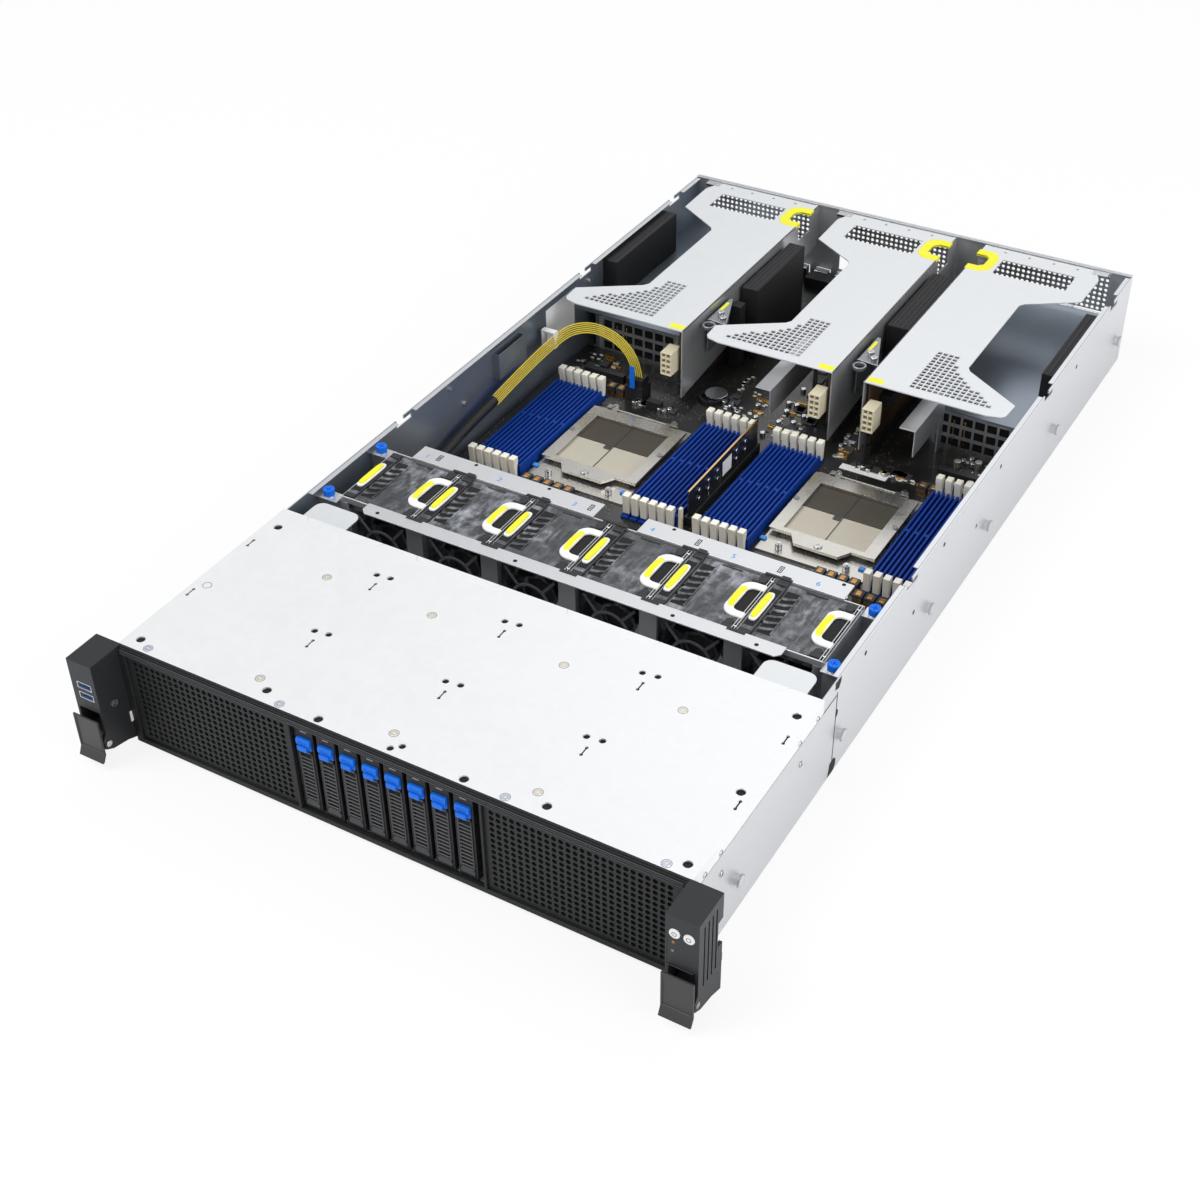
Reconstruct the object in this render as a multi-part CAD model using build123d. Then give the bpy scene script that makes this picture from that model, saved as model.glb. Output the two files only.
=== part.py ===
from build123d import *
import math
import os

# A 2U rack server with its top cover off: chassis, drives, fans, board, risers, power supplies.
# Sizes are millimetres. X is across the rack, Y runs from the front to the rear, Z is up.
# Shapes are worked out with Y = 0 at the front edge of the chassis tray, and are shifted by
# MID_Y on export, so that the origin is under the middle of the whole server.

# How many flats a round piece is drawn with
FLAT_COUNT = 12
FINE_COUNT = 16
SMALL_COUNT = 8

# Chassis
BODY_W = 438.0
BODY_L = 838.0
HEIGHT = 87.5
SHEET = 1.2
BEND_R = 2.0
COVER_T = 1.0
COVER_L = 180.0
COVER_FLANGE = 12.0
COVER_HOLE_R = 3.1
COVER_HOLE_INSET = 9.0
COVER_TAB_X = 52.0
LIP_D = 4.0
GUIDE_W = 7.8
GUIDE_L = 42.0
STUD_R = 4.0
STUD_L = 4.5
STUD_Z = 33.0
STUD_YS = (59.0, 212.0, 369.0, 488.0)
REAR_STUDS = (192.0, 24.0)
HOOK_YS = (320.0, 605.0, 775.0)

# Bezel and rack ears
BEZEL_D = 4.5
BEZEL_Z0 = 2.5
GRILLE_T = 1.2
GRILLE_COLS = 6
GRILLE_ROWS = 3
GRILLE_HOLE = 15.0
RACK_W = 480.0
EAR_W = 22.0
EAR_D = 30.0
CHEEK_T = 2.2
FLAP_T = 1.6
FLAP_GAP = 4.0
FLAP_TOP = 42.5
FLAP_LIP = 3.0
EAR_PIN_R = 1.5
BUTTON_R = 3.6
BUTTON_GAP = 0.1

# Drive bays
BAYS = 8
BAY_PITCH = 17.66
BAY_X0 = -70.9
BAY_FLOOR = 6.5
BAY_TOP = 81.5
CARRIER_W = 14.6
CARRIER_H = 73.0
CARRIER_L = 127.5
CARRIER_PROUD = 1.5
RAIL_T = 1.2
DRIVE_T = 12.0
DRIVE_L = 100.0
DRIVE_W = 69.8
LEVER_TOP = 61.0
LEVER_T = 2.2
LEVER_PIN_R = 1.2
LOUVRES = 5
SLIDE_GAP = 0.2
PIN_GAP = 0.05

# Fan wall
FANS = 6
FAN_ENDS = 37.2
FAN_MID_X = 2.5
FAN_Y0 = 218.0
FAN_Y1 = 284.5
FAN_TOP = 84.0
DIVIDER_T = 1.0
POST_W = 14.0
FAN_SIDE_GAP = 0.6
FAN_Z = 44.0
FAN_BORE_R = 28.5
FAN_BLADES = 5
HUB_R = 12.5
TIP_GAP = 2.4
SHAFT_R = 1.5
BEAM_Z = 86.0
FRONT_BEAM = 12.5
REAR_BEAM = 18.0
BRACKET_Z = 80.0
THUMB_R = 4.5

# Board
BOARD_Y0 = 306.0
BOARD_Z = 8.0
BOARD_T = 2.0
DIMM_PITCH = 8.0
DIMM_PER_BANK = 6
DIMM_BANK_XS = (-176.0, -27.3, 36.1, 183.0)
DIMM_L = 136.0
DIMM_MIDDLE = -6.0
DIMM_W = 6.4
DIMM_H = 10.0
LATCH_W = 5.6
LATCH_TOP = 31.0
SOCKET_XS = (-103.5, 109.5)
SOCKET_Y = 470.0
SOCKET_W = 92.0
FRAME_T = 2.5
FRAME_PIN_R = 1.2

# Risers, from left to right
RISER_NAMES = ("riser_left", "riser_center", "riser_right")
RISER_WALL_XS = (-86.0, 54.4, 82.0)
RISER_SLOT_COUNTS = (2, 3, 2)
RISER_REACH = 121.0
RISER_BEHIND = 24.0
RISER_REAR = 5.0
RISER_TOP = 86.5
CARD_T = 1.6
SLOT_PITCH = 20.3

# Air blocks
SIDE_BLOCK = 15.5
BLOCK_GAP = 3.2
BLOCK_TOP = 80.0

# Power supplies
PSU_W = 85.0
PSU_H = 40.0
PSU_BEHIND = 88.0
PSU_INSET = 10.5
PSU_GAP = 0.2
PSU_HANDLE = 24.0
CAGE_T = 1.0

FLOOR = SHEET
DIMM_Y0 = SOCKET_Y + DIMM_MIDDLE - DIMM_L / 2
DIMM_Y1 = DIMM_Y0 + DIMM_L
RISER_Y0 = DIMM_Y1 + RISER_BEHIND
RISER_Y1 = BODY_L - RISER_REAR
PSU_Y0 = DIMM_Y1 + PSU_BEHIND
HALF_W = BODY_W / 2
WALL_X = HALF_W - SHEET
WALL_TOP = HEIGHT - COVER_T
BOARD_TOP = BOARD_Z + BOARD_T
EAR_OUT = RACK_W / 2
EAR_IN = EAR_OUT - EAR_W
FLAP_Y = -EAR_D - FLAP_GAP - FLAP_T
FRONT_REACH = -FLAP_Y + FLAP_LIP
PSU_X = WALL_X - PSU_INSET - PSU_W / 2
FAN_PITCH = (2 * WALL_X - FAN_ENDS) / FANS
MID_Y = (BODY_L + PSU_HANDLE - FRONT_REACH) / 2


def block(x0, x1, y0, y1, z0, z1):
    """A box given by its two corners."""
    middle = Pos((x0 + x1) / 2, (y0 + y1) / 2, (z0 + z1) / 2)
    return middle * Box(abs(x1 - x0), abs(y1 - y0), abs(z1 - z0))


def flat(points):
    """A closed outline as a face in its own plane."""
    return make_face(Polyline(*points, close=True))


def along_x(face, x0, x1):
    """A face drawn in (y, z), carried from x0 to x1."""
    return extrude(Plane.YZ.offset(min(x0, x1)) * face, amount=abs(x1 - x0))


def along_y(face, y0, y1):
    """A face drawn in (x, z), carried from y0 to y1."""
    return extrude(Plane.XZ.offset(-y0) * face, amount=-(y1 - y0))


def along_z(face, z0, z1):
    """A face drawn in (x, y), carried from z0 to z1."""
    return extrude(Plane.XY.offset(z0) * face, amount=z1 - z0)


def rect(x0, x1, y0, y1):
    """A rectangle given by its two corners."""
    return Pos((x0 + x1) / 2, (y0 + y1) / 2) * Rectangle(abs(x1 - x0), abs(y1 - y0))


def rod_x(radius, x0, x1, y, z, flats=FLAT_COUNT):
    """A bar along X, round to within its flats; its corners lie at the radius."""
    return along_x(Pos(y, z) * RegularPolygon(radius, flats), x0, x1)


def bore_x(radius, x0, x1, y, z, flats=FLAT_COUNT):
    """The cutter of a hole along X; the middles of its flats lie at the radius."""
    return along_x(Pos(y, z) * RegularPolygon(radius, flats, major_radius=False), x0, x1)


def rod_y(radius, y0, y1, x, z, flats=FLAT_COUNT):
    """A bar along Y, round to within its flats; its corners lie at the radius."""
    return along_y(Pos(x, z) * RegularPolygon(radius, flats), y0, y1)


def bore_y(radius, y0, y1, x, z, flats=FLAT_COUNT):
    """The cutter of a hole along Y; the middles of its flats lie at the radius."""
    return along_y(Pos(x, z) * RegularPolygon(radius, flats, major_radius=False), y0, y1)


def save(name, *pieces):
    """Write a node: each piece stays a solid of its own."""
    solids = [solid for piece in pieces for solid in piece.solids()]
    shape = Compound(solids).moved(Location((0, -MID_Y, 0)))
    export_step(shape, f"parts/{name}.step")


# ---------------------------------------------------------------- chassis

def hook_notch(side, y):
    """An L-shaped notch in a wall's top edge, for a hook of the top cover."""
    x0, x1 = side * (WALL_X - 1), side * (HALF_W + 1)
    mouth = block(x0, x1, y, y + 10, WALL_TOP - 7, WALL_TOP + 1)
    return mouth + block(x0, x1, y + 9, y + 20, WALL_TOP - 7, WALL_TOP - 3)


def tray():
    """The floor and the two side walls, bent from one sheet."""
    outer = flat([(-HALF_W, 0), (HALF_W, 0), (HALF_W, WALL_TOP), (-HALF_W, WALL_TOP)])
    corners = outer.vertices().sort_by(Axis.Y)[:2]
    outer = fillet(corners, BEND_R)
    inner = rect(-WALL_X, WALL_X, FLOOR, HEIGHT)
    corners = inner.vertices().sort_by(Axis.Y)[:2]
    inner = fillet(corners, BEND_R - SHEET)
    sheet = along_y(outer - inner, 0, BODY_L)
    return sheet - [hook_notch(side, y) for side in (-1, 1) for y in HOOK_YS]


def riser_rows():
    """Each riser's name, wall position, side that its cards lie on, and number of slots."""
    return zip(RISER_NAMES, RISER_WALL_XS, (-1, -1, 1), RISER_SLOT_COUNTS)


def riser_span(wall_x, side):
    """The two X limits of a riser's card bay, low one first."""
    return sorted((wall_x + side * 6, wall_x + side * (RISER_REACH - 4)))


def rear_panel():
    """The rear wall with its power supply, card and port openings and its top lip."""
    face = rect(-WALL_X, WALL_X, FLOOR, WALL_TOP)
    for side in (-1, 1):
        x = side * PSU_X
        face -= rect(x - PSU_W / 2 - 1, x + PSU_W / 2 + 1, FLOOR, FLOOR + PSU_H + 2)
    for name, wall_x, side, count in riser_rows():
        x0, x1 = riser_span(wall_x, side)
        face -= rect(x0, x1, 84 - SLOT_PITCH * count, 82)
    for x0, x1 in ((-108, -93), (-86, -71), (-64, -48), (-40, -24), (-16, 60), (68, 108)):
        face -= rect(x0, x1, BOARD_TOP + 1, BOARD_TOP + 10)
    wall = along_y(face, BODY_L - SHEET, BODY_L)
    return wall + block(-HALF_W, HALF_W, BODY_L - LIP_D, BODY_L, WALL_TOP, HEIGHT)


def psu_cage(side):
    """A sheet tunnel that a power supply slides into."""
    in_x = PSU_X - PSU_W / 2 - PSU_GAP
    out_x = PSU_X + PSU_W / 2 + PSU_GAP
    top = FLOOR + PSU_H + 2 * PSU_GAP
    outer = rect(side * (in_x - CAGE_T), side * (out_x + CAGE_T), FLOOR, top + CAGE_T)
    face = outer - rect(side * in_x, side * out_x, FLOOR, top)
    cage = along_y(face, PSU_Y0 - 4, BODY_L - SHEET)
    shelf = block(side * (out_x + CAGE_T), side * WALL_X, PSU_Y0 - 4, BODY_L - SHEET, top, top + CAGE_T)
    return cage + shelf


def cable_guide():
    """An open box on the left wall that cables drop into."""
    x0, x1 = -WALL_X, -WALL_X + GUIDE_W
    y0, y1 = SOCKET_Y - 12, SOCKET_Y - 12 + GUIDE_L
    ring = rect(x0, x1, y0, y1) - rect(x0 + 1, x1 - 1, y0 + 1, y1 - 1)
    return along_z(ring, 54, 78)


def studs():
    """The shoulder studs that hang the chassis on its slide rails; the end ones bear the load."""
    ends = (STUD_YS[0], BODY_L - REAR_STUDS[1])
    between = list(STUD_YS[1:]) + [BODY_L - REAR_STUDS[0]]
    pieces = []
    for x0, x1 in ((-HALF_W - STUD_L, -HALF_W), (HALF_W, HALF_W + STUD_L)):
        pieces += [along_x(Pos(y, STUD_Z) * Circle(STUD_R), x0, x1) for y in ends]
        pieces += [rod_x(STUD_R, x0, x1, y, STUD_Z, SMALL_COUNT) for y in between]
    return pieces


def front_cover():
    """The fixed front cover with its side flanges, shelf tabs and round holes."""
    half = HALF_W + COVER_T
    face = rect(-half, half, 0, COVER_L)
    for side in (-1, 1):
        tab = rect(side * (HALF_W - COVER_TAB_X), side * HALF_W, COVER_L - 1, COVER_L + 24)
        inner_corner = tab.vertices().sort_by(Axis.Y)[2:].sort_by(lambda v: abs(v.X))[0]
        face += chamfer(inner_corner, 5)
    edge = HALF_W - COVER_HOLE_INSET
    spots = [(side * edge, y) for side in (-1, 1) for y in (10, 79, COVER_L - 22)]
    spots += [(-102, 10.5), (-55.5, 4.5), (56.7, 4.5), (113.6, 10)]
    holes = [Pos(x, y) * RegularPolygon(COVER_HOLE_R, SMALL_COUNT) for x, y in spots]
    plate = along_z(face - holes, WALL_TOP, HEIGHT)
    for side in (-1, 1):
        plate += block(side * HALF_W, side * half, 0, COVER_L, HEIGHT - COVER_FLANGE, HEIGHT)
    return plate


# ---------------------------------------------------------------- bezel and ears

def bay_opening():
    """The X limits of the bezel's opening for the drive carriers."""
    return BAY_X0 - 1.5, BAY_X0 + (BAYS - 1) * BAY_PITCH + CARRIER_W + 6.3


def grille(x0, x1):
    """A flat panel with a field of square holes."""
    pitch_x = (x1 - x0 - 12) / GRILLE_COLS
    pitch_z = (BAY_TOP - BAY_FLOOR - 8) / GRILLE_ROWS
    face = rect(x0, x1, BAY_FLOOR, BAY_TOP)
    holes = []
    for col in range(GRILLE_COLS):
        for row in range(GRILLE_ROWS):
            x = x0 + 6 + pitch_x * (col + 0.5)
            z = BAY_FLOOR + 4 + pitch_z * (row + 0.5)
            holes.append(Pos(x, z) * Rectangle(GRILLE_HOLE, GRILLE_HOLE))
    return along_y(face - holes, -GRILLE_T - 1.2, -1.2)


def bezel_frame():
    """The black front frame, with a stepped top rail and three windows."""
    half = EAR_IN - 0.1
    x0, x1 = bay_opening()
    face = rect(-half, half, BEZEL_Z0, HEIGHT)
    for left, right in ((-half + 5.9, x0 - 2), (x0, x1), (x1 + 2, half - 5.9)):
        face -= rect(left, right, BAY_FLOOR, BAY_TOP)
    frame = along_y(face, -BEZEL_D, 0)
    for step in (1, 2, 3):
        z = BAY_TOP + 1.5 * step
        frame -= block(-half, half, -BEZEL_D, -BEZEL_D + 0.9 * step, z, z + 1.5)
    return frame


def front_bezel():
    """The bezel frame and its two perforated panels."""
    half = EAR_IN - 0.1
    x0, x1 = bay_opening()
    return bezel_frame(), grille(-half + 5.9, x0 - 2), grille(x1 + 2, half - 5.9)


def ear_outline():
    """A rack ear's side outline in (y, z), with its pivot nose at the lower front."""
    return flat([
        (-EAR_D, HEIGHT), (0, HEIGHT), (0, 4), (-12, 9), (-26, 12),
        (-EAR_D - 3, 16), (-EAR_D - 3, 24), (-EAR_D, 28),
    ])


def ear(side):
    """One moulded rack ear, open below for the flap's arm, with its pivot pin."""
    x0, x1 = side * EAR_IN, side * EAR_OUT
    body = along_x(ear_outline(), x0, x1)
    inner0, inner1 = side * (EAR_IN + CHEEK_T), side * (EAR_OUT - CHEEK_T)
    body -= block(inner0, inner1, -EAR_D - 4, 1, -1, 46)
    body -= block(side * (EAR_OUT - 5), x1 + side, -6, 1, 46, 67)
    grooves = [block(x1 - side * 0.8, x1 + side, y, y + 1.6, 30, 81) for y in (-24, -19, -14, -9)]
    body -= grooves
    return body + rod_x(EAR_PIN_R, inner0 - side * 0.5, inner1 + side * 0.5, *ear_pivot())


def ear_pivot():
    """The flap's pivot axis, as (y, z)."""
    return -EAR_D + 1.0, 19.0


def usb_port(x, z):
    """The recess of a USB socket, and the tongue inside it."""
    recess = block(x - 6.6, x + 6.6, -EAR_D - 1, -EAR_D + 9, z - 2.9, z + 2.9)
    tongue = block(x - 5.4, x + 5.4, -EAR_D + 1, -EAR_D + 9, z + 0.4, z + 2.0)
    return recess, tongue


def left_ear():
    """The left ear with two stacked USB sockets."""
    middle = -(EAR_IN + EAR_OUT) / 2 + 1.0
    ports = [usb_port(middle, z) for z in (67.2, 58.3)]
    return [ear(-1) - [port[0] for port in ports]] + [port[1] for port in ports]


def button_spots():
    """The centres of the power and identify buttons, as (x, z)."""
    middle = (EAR_IN + EAR_OUT) / 2
    return (middle - 4.9, 73.6), (middle + 4.5, 73.6)


def right_ear():
    """The right ear with blind bores for its two buttons."""
    bores = [bore_y(BUTTON_R + BUTTON_GAP, -EAR_D - 1, -EAR_D + 5, x, z, FINE_COUNT) for x, z in button_spots()]
    return ear(1) - bores


def push_button(x, z):
    """A round cap that stands a little proud of the ear."""
    return rod_y(BUTTON_R, -EAR_D - 0.8, -EAR_D + 3.5, x, z, FINE_COUNT)


def ear_latch(side):
    """The flap that is pulled to free the server: front plate, arm, bore and rear hook."""
    y, z = ear_pivot()
    arm0, arm1 = side * (EAR_IN + CHEEK_T + 0.3), side * (EAR_OUT - CHEEK_T - 0.3)
    plate = flat([
        (FLAP_Y, FLAP_TOP), (FLAP_Y + FLAP_T, FLAP_TOP), (FLAP_Y + FLAP_T, 12.5),
        (FLAP_Y - FLAP_LIP + FLAP_T, 6.8), (FLAP_Y - FLAP_LIP, 6.8), (FLAP_Y, 13),
    ])
    arm = flat([
        (FLAP_Y + FLAP_T, 14), (y, z - 3.5), (y + 4, z - 3.5), (-3, 22), (6, 22), (6, 29),
        (3.5, 31), (2, 27), (-6, 27), (y + 4, z + 5), (FLAP_Y + FLAP_T, 34),
    ])
    latch = along_x(plate, side * EAR_IN, side * EAR_OUT) + along_x(arm, arm0, arm1)
    return latch - bore_x(EAR_PIN_R + PIN_GAP, side * EAR_IN, side * EAR_OUT, y, z)


# ---------------------------------------------------------------- drives

def drive_cage():
    """The bay box of four riveted sheets, and the backplane with a connector for each drive."""
    x0, x1 = bay_opening()
    back = CARRIER_L + 6
    left = block(x0 - SHEET, x0, 0, back, FLOOR, BAY_TOP + SHEET)
    right = block(x1, x1 + SHEET, 0, back, FLOOR, BAY_TOP + SHEET)
    roof = block(x0, x1, 0, back, BAY_TOP, BAY_TOP + SHEET)
    base = block(x0, x1, 0, back, BAY_FLOOR - SHEET, BAY_FLOOR)
    for bay in range(1, BAYS):
        x = BAY_X0 + bay * BAY_PITCH - (BAY_PITCH - CARRIER_W) / 2
        base += block(x - 0.5, x + 0.5, 1, back, BAY_FLOOR, BAY_FLOOR + 3)
        roof += block(x - 0.5, x + 0.5, 1, back, BAY_TOP - 3, BAY_TOP)
    backplane = block(x0 - SHEET, x1 + SHEET, back, back + 2, FLOOR, BAY_TOP + SHEET)
    plugs = [block(x - 2.5, x + 2.5, back - 2.5, back, 26, 64) for x in bay_centres()]
    return [left, right, roof, base, backplane] + plugs


def bay_centres():
    """The middle of each bay across the server."""
    return [BAY_X0 + bay * BAY_PITCH + CARRIER_W / 2 for bay in range(BAYS)]


def lever_pivot():
    """The carrier lever's pivot axis, as (y, z)."""
    return 0.6, BAY_FLOOR + 6.5


def drive_carrier(x):
    """A carrier's front frame, its rails and lever pin, and the drive that it holds."""
    half = CARRIER_W / 2
    z0 = BAY_FLOOR + (BAY_TOP - BAY_FLOOR - CARRIER_H) / 2
    z1 = z0 + CARRIER_H
    window = rect(x - half + 1.6, x + half - 1.6, z0 + 2.4, LEVER_TOP + 11)
    front = along_y(rect(x - half, x + half, z0, z1) - window, -CARRIER_PROUD, 6)
    for bottom in (z0, z1 - RAIL_T):
        front += block(x - half + 0.5, x + half - 0.5, 6, CARRIER_L - 1.5, bottom, bottom + RAIL_T)
    front += rod_x(LEVER_PIN_R, x - half + 1.6, x + half - 1.6, *lever_pivot(), SMALL_COUNT)
    end = CARRIER_L + 3
    drive = block(x - DRIVE_T / 2, x + DRIVE_T / 2, end - DRIVE_L, end, z0 + RAIL_T, z0 + RAIL_T + DRIVE_W)
    return front, drive


def carrier_lever(x):
    """The louvred lever that closes a carrier's front and swings down about its foot."""
    half = CARRIER_W / 2 - 1.6 - SLIDE_GAP
    y, z = lever_pivot()
    lever = block(x - half, x + half, -LEVER_T, 0, z, LEVER_TOP)
    lever += rod_x(2.3, x - half, x + half, y, z, SMALL_COUNT)
    pitch = (LEVER_TOP - z - 6) / LOUVRES
    slots = [
        block(x - half + 1.5, x + half - 1.5, -5, 0.5, z + 4 + k * pitch, z + 4 + (k + 0.55) * pitch)
        for k in range(LOUVRES)
    ]
    return lever - slots - bore_x(LEVER_PIN_R + PIN_GAP, x - half - 1, x + half + 1, y, z, SMALL_COUNT)


def release_button(x):
    """The two-step thumb button that frees the lever."""
    half = CARRIER_W / 2 - 1.6 - SLIDE_GAP
    z = LEVER_TOP + 1.2
    side = flat([
        (-2.4, z), (3.5, z), (3.5, z + 9.4), (-3.0, z + 9.4), (-3.9, z + 8.4),
        (-3.9, z + 4.6), (-2.4, z + 3.8),
    ])
    return along_x(side, x - half, x + half)


# ---------------------------------------------------------------- fans

def fan_edges():
    """The X of each divider of the fan wall."""
    return [FAN_MID_X + (k - FANS / 2) * FAN_PITCH for k in range(FANS + 1)]


def fan_sheet(y):
    """A standing sheet of the fan wall as bars round its windows: two rails and the posts between."""
    edges = fan_edges()
    half = DIVIDER_T / 2
    low, high = FLOOR + 5, BEAM_Z - SHEET - 5
    x0, x1 = edges[0] - half, edges[-1] + half
    rails = [block(x0, x1, y, y + SHEET, z, z + 5) for z in (FLOOR, high)]
    spans = [(x0, edges[0] + POST_W / 2), (edges[-1] - POST_W / 2, x1)]
    spans += [(x - POST_W / 2, x + POST_W / 2) for x in edges[1:-1]]
    return rails + [block(left, right, y, y + SHEET, low, high) for left, right in spans]


def fan_beams():
    """The flat beams along the top of the fan wall, one in front and two behind."""
    edges = fan_edges()
    low = BEAM_Z - SHEET
    front = rect(edges[0] + 26.7, edges[-1] - 26.7, FAN_Y0 - FRONT_BEAM, FAN_Y0)
    front = chamfer(front.vertices().sort_by(Axis.Y)[:2], 4)
    middle = edges[FANS // 2]
    spans = ((edges[0] + 19.2, middle - 17.5), (middle + 19.5, edges[-1] - 14.7))
    rear = [block(left, right, FAN_Y1, FAN_Y1 + REAR_BEAM, low, BEAM_Z) for left, right in spans]
    return [along_z(front, low, BEAM_Z)] + rear


def fan_frame():
    """The fan wall's sheets, beams, floor strip, dividers and end brackets."""
    edges = fan_edges()
    half = DIVIDER_T / 2
    strip = block(edges[0] - half, edges[-1] + half, FAN_Y0, FAN_Y1, FLOOR, FLOOR + SHEET)
    dividers = [block(x - half, x + half, FAN_Y0, FAN_Y1, FLOOR + SHEET, FAN_TOP - 1) for x in edges]
    brackets = [fan_bracket(side, y) for side in (-1, 1) for y in (FAN_Y0 - SHEET, FAN_Y1)]
    sheets = fan_sheet(FAN_Y0 - SHEET) + fan_sheet(FAN_Y1)
    return sheets + fan_beams() + [strip] + dividers + brackets


def fan_bracket(side, y):
    """An angle at the end of the fan wall: a web to the chassis wall and a tab for a screw."""
    edges = fan_edges()
    start = (edges[-1] if side > 0 else edges[0]) + side * DIVIDER_T / 2
    web = block(start, side * WALL_X, y, y + SHEET, BRACKET_Z / 2, BRACKET_Z)
    return web + block(start, side * WALL_X, y - 5, y + 6, BRACKET_Z, BRACKET_Z + SHEET)


def thumb_spots():
    """The places of the four captive screws, as (x, y)."""
    edges = fan_edges()
    xs = ((edges[0] - WALL_X) / 2, (edges[-1] + WALL_X) / 2)
    return [(x, y + 0.5) for x in xs for y in (FAN_Y0 - SHEET, FAN_Y1)]


def thumb_screws():
    """The four blue captive screws of the fan wall."""
    z = BRACKET_Z + SHEET
    return [Pos(x, y) * along_z(RegularPolygon(THUMB_R, SMALL_COUNT), z, z + 5) for x, y in thumb_spots()]


def fan_span(index):
    """The X limits of one fan module."""
    edges = fan_edges()
    gap = DIVIDER_T / 2 + FAN_SIDE_GAP
    return edges[index] + gap, edges[index + 1] - gap


def fan_guard(x, y):
    """A ring and three spokes across the fan's mouth."""
    ring = RegularPolygon(16, SMALL_COUNT) - RegularPolygon(13.6, SMALL_COUNT)
    spoke = rect(14.6, FAN_BORE_R + 1, -1, 1)
    face = ring + [Rot(0, 0, angle) * spoke for angle in (90, 210, 330)]
    return along_y(Pos(x, FAN_Z) * face, y, y + 1.6)


def fan_housing(index):
    """A fan module's moulded body: bore, guard, motor seat, vented cap and finger well."""
    x0, x1 = fan_span(index)
    x = (x0 + x1) / 2
    z0 = FLOOR + SHEET
    body = block(x0, x1, FAN_Y0 + 14, FAN_Y1 - 14, z0, 76)
    body -= bore_y(FAN_BORE_R, FAN_Y0, FAN_Y1, x, FAN_Z, FINE_COUNT)
    cap = block(x0, x1, FAN_Y0 + 1.5, FAN_Y1 - 1.5, 74, FAN_TOP)
    cap -= block(x1 - 17, x1 + 1, FAN_Y0 + 20, FAN_Y1 - 18, 77, FAN_TOP + 1)
    vents = [block(x0 + 9, x0 + 17, FAN_Y0 + y, FAN_Y0 + y + 3, 78, FAN_TOP + 1) for y in range(17, 46, 10)]
    back = FAN_Y1 - 14
    struts = RegularPolygon(HUB_R, SMALL_COUNT)
    struts += [Rot(0, 0, angle) * rect(0, FAN_BORE_R + 1, -2, 2) for angle in (90, 210, 330)]
    seat = along_y(Pos(x, FAN_Z) * struts, back - 4, back)
    seat -= bore_y(SHAFT_R + PIN_GAP, back - 5, back - 1, x, FAN_Z, SMALL_COUNT)
    return body + cap - vents + fan_guard(x, FAN_Y0 + 14) + seat


def fan_handle(index):
    """The white C-shaped finger grip on a module's right edge."""
    x0, x1 = fan_span(index)
    y0, y1 = FAN_Y0 + 14, FAN_Y1 - 12
    outer = rect(x1 - 17.5, x1, y0, y1)
    outer = chamfer(outer.vertices().sort_by(Axis.X)[:2], 6)
    face = outer - rect(x1 - 11, x1 + 1, y0 + 7, y1 - 7)
    return along_z(face, FAN_TOP, FAN_TOP + 2.4)


def fan_latch(index):
    """The latch strip on a module's left edge, with its finger pad."""
    x0 = fan_span(index)[0]
    strip = block(x0 + 1, x0 + 6, FAN_Y0 + 15, FAN_Y1 - 17, FAN_TOP, FAN_TOP + 1.2)
    return strip + block(x0, x0 + 4, FAN_Y0 + 18, FAN_Y1 - 20, FAN_TOP + 1.2, FAN_TOP + 2.4)


def blade_section(chord, thickness, angle, radius):
    """The corners of a blade section, flat below and crowned above, at its radius."""
    outline = [(-chord / 2, 0), (-chord / 8, thickness), (chord / 2, 0)]
    turn, rise = math.cos(math.radians(angle)), math.sin(math.radians(angle))
    return [(u * turn - v * rise, u * rise + v * turn, radius) for u, v in outline]


def fan_rotor(index):
    """A hub with its twisted blades and its shaft, turning about Y."""
    x0, x1 = fan_span(index)
    x = (x0 + x1) / 2
    y0, y1 = FAN_Y0 + 18, FAN_Y1 - 19
    root = blade_section(20, 3.0, 58, HUB_R - 1.5)
    tip = blade_section(21, 2.0, 36, FAN_BORE_R - TIP_GAP)
    blade = Pos(0, (y0 + y1) / 2, 0) * ConvexPolyhedron(root + tip)
    rotor = rod_y(HUB_R, y0, y1, 0, 0, 2 * FAN_BLADES)
    rotor += rod_y(SHAFT_R, y1, FAN_Y1 - 15.5, 0, 0, SMALL_COUNT)
    rotor += [Rot(0, 360 / FAN_BLADES * k, 0) * blade for k in range(FAN_BLADES)]
    return Pos(x, 0, FAN_Z) * rotor


# ---------------------------------------------------------------- board

def board_plate():
    """The printed circuit board, cut away round the power supplies."""
    side = PSU_X - PSU_W / 2 - PSU_GAP - CAGE_T - 2
    wide = WALL_X - 3
    return along_z(flat([
        (-wide, BOARD_Y0), (wide, BOARD_Y0), (wide, PSU_Y0 - 8), (side, PSU_Y0 - 8), (side, BODY_L - 4),
        (-side, BODY_L - 4), (-side, PSU_Y0 - 8), (-wide, PSU_Y0 - 8),
    ]), BOARD_Z, BOARD_TOP)


def standoffs():
    """Hexagonal posts between the floor and the board."""
    side = WALL_X - 12.8
    spots = [(x, y) for x in (-side, 2, side) for y in (BOARD_Y0 + 10, SOCKET_Y + 90)]
    spots += [(-100, BODY_L - 18), (100, BODY_L - 18)]
    return [Pos(x, y) * along_z(RegularPolygon(3.2, 6), FLOOR, BOARD_Z) for x, y in spots]


def dimm_xs():
    """The X of every memory socket."""
    first = -(DIMM_PER_BANK - 1) / 2
    return [mid + (first + k) * DIMM_PITCH for mid in DIMM_BANK_XS for k in range(DIMM_PER_BANK)]


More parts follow.
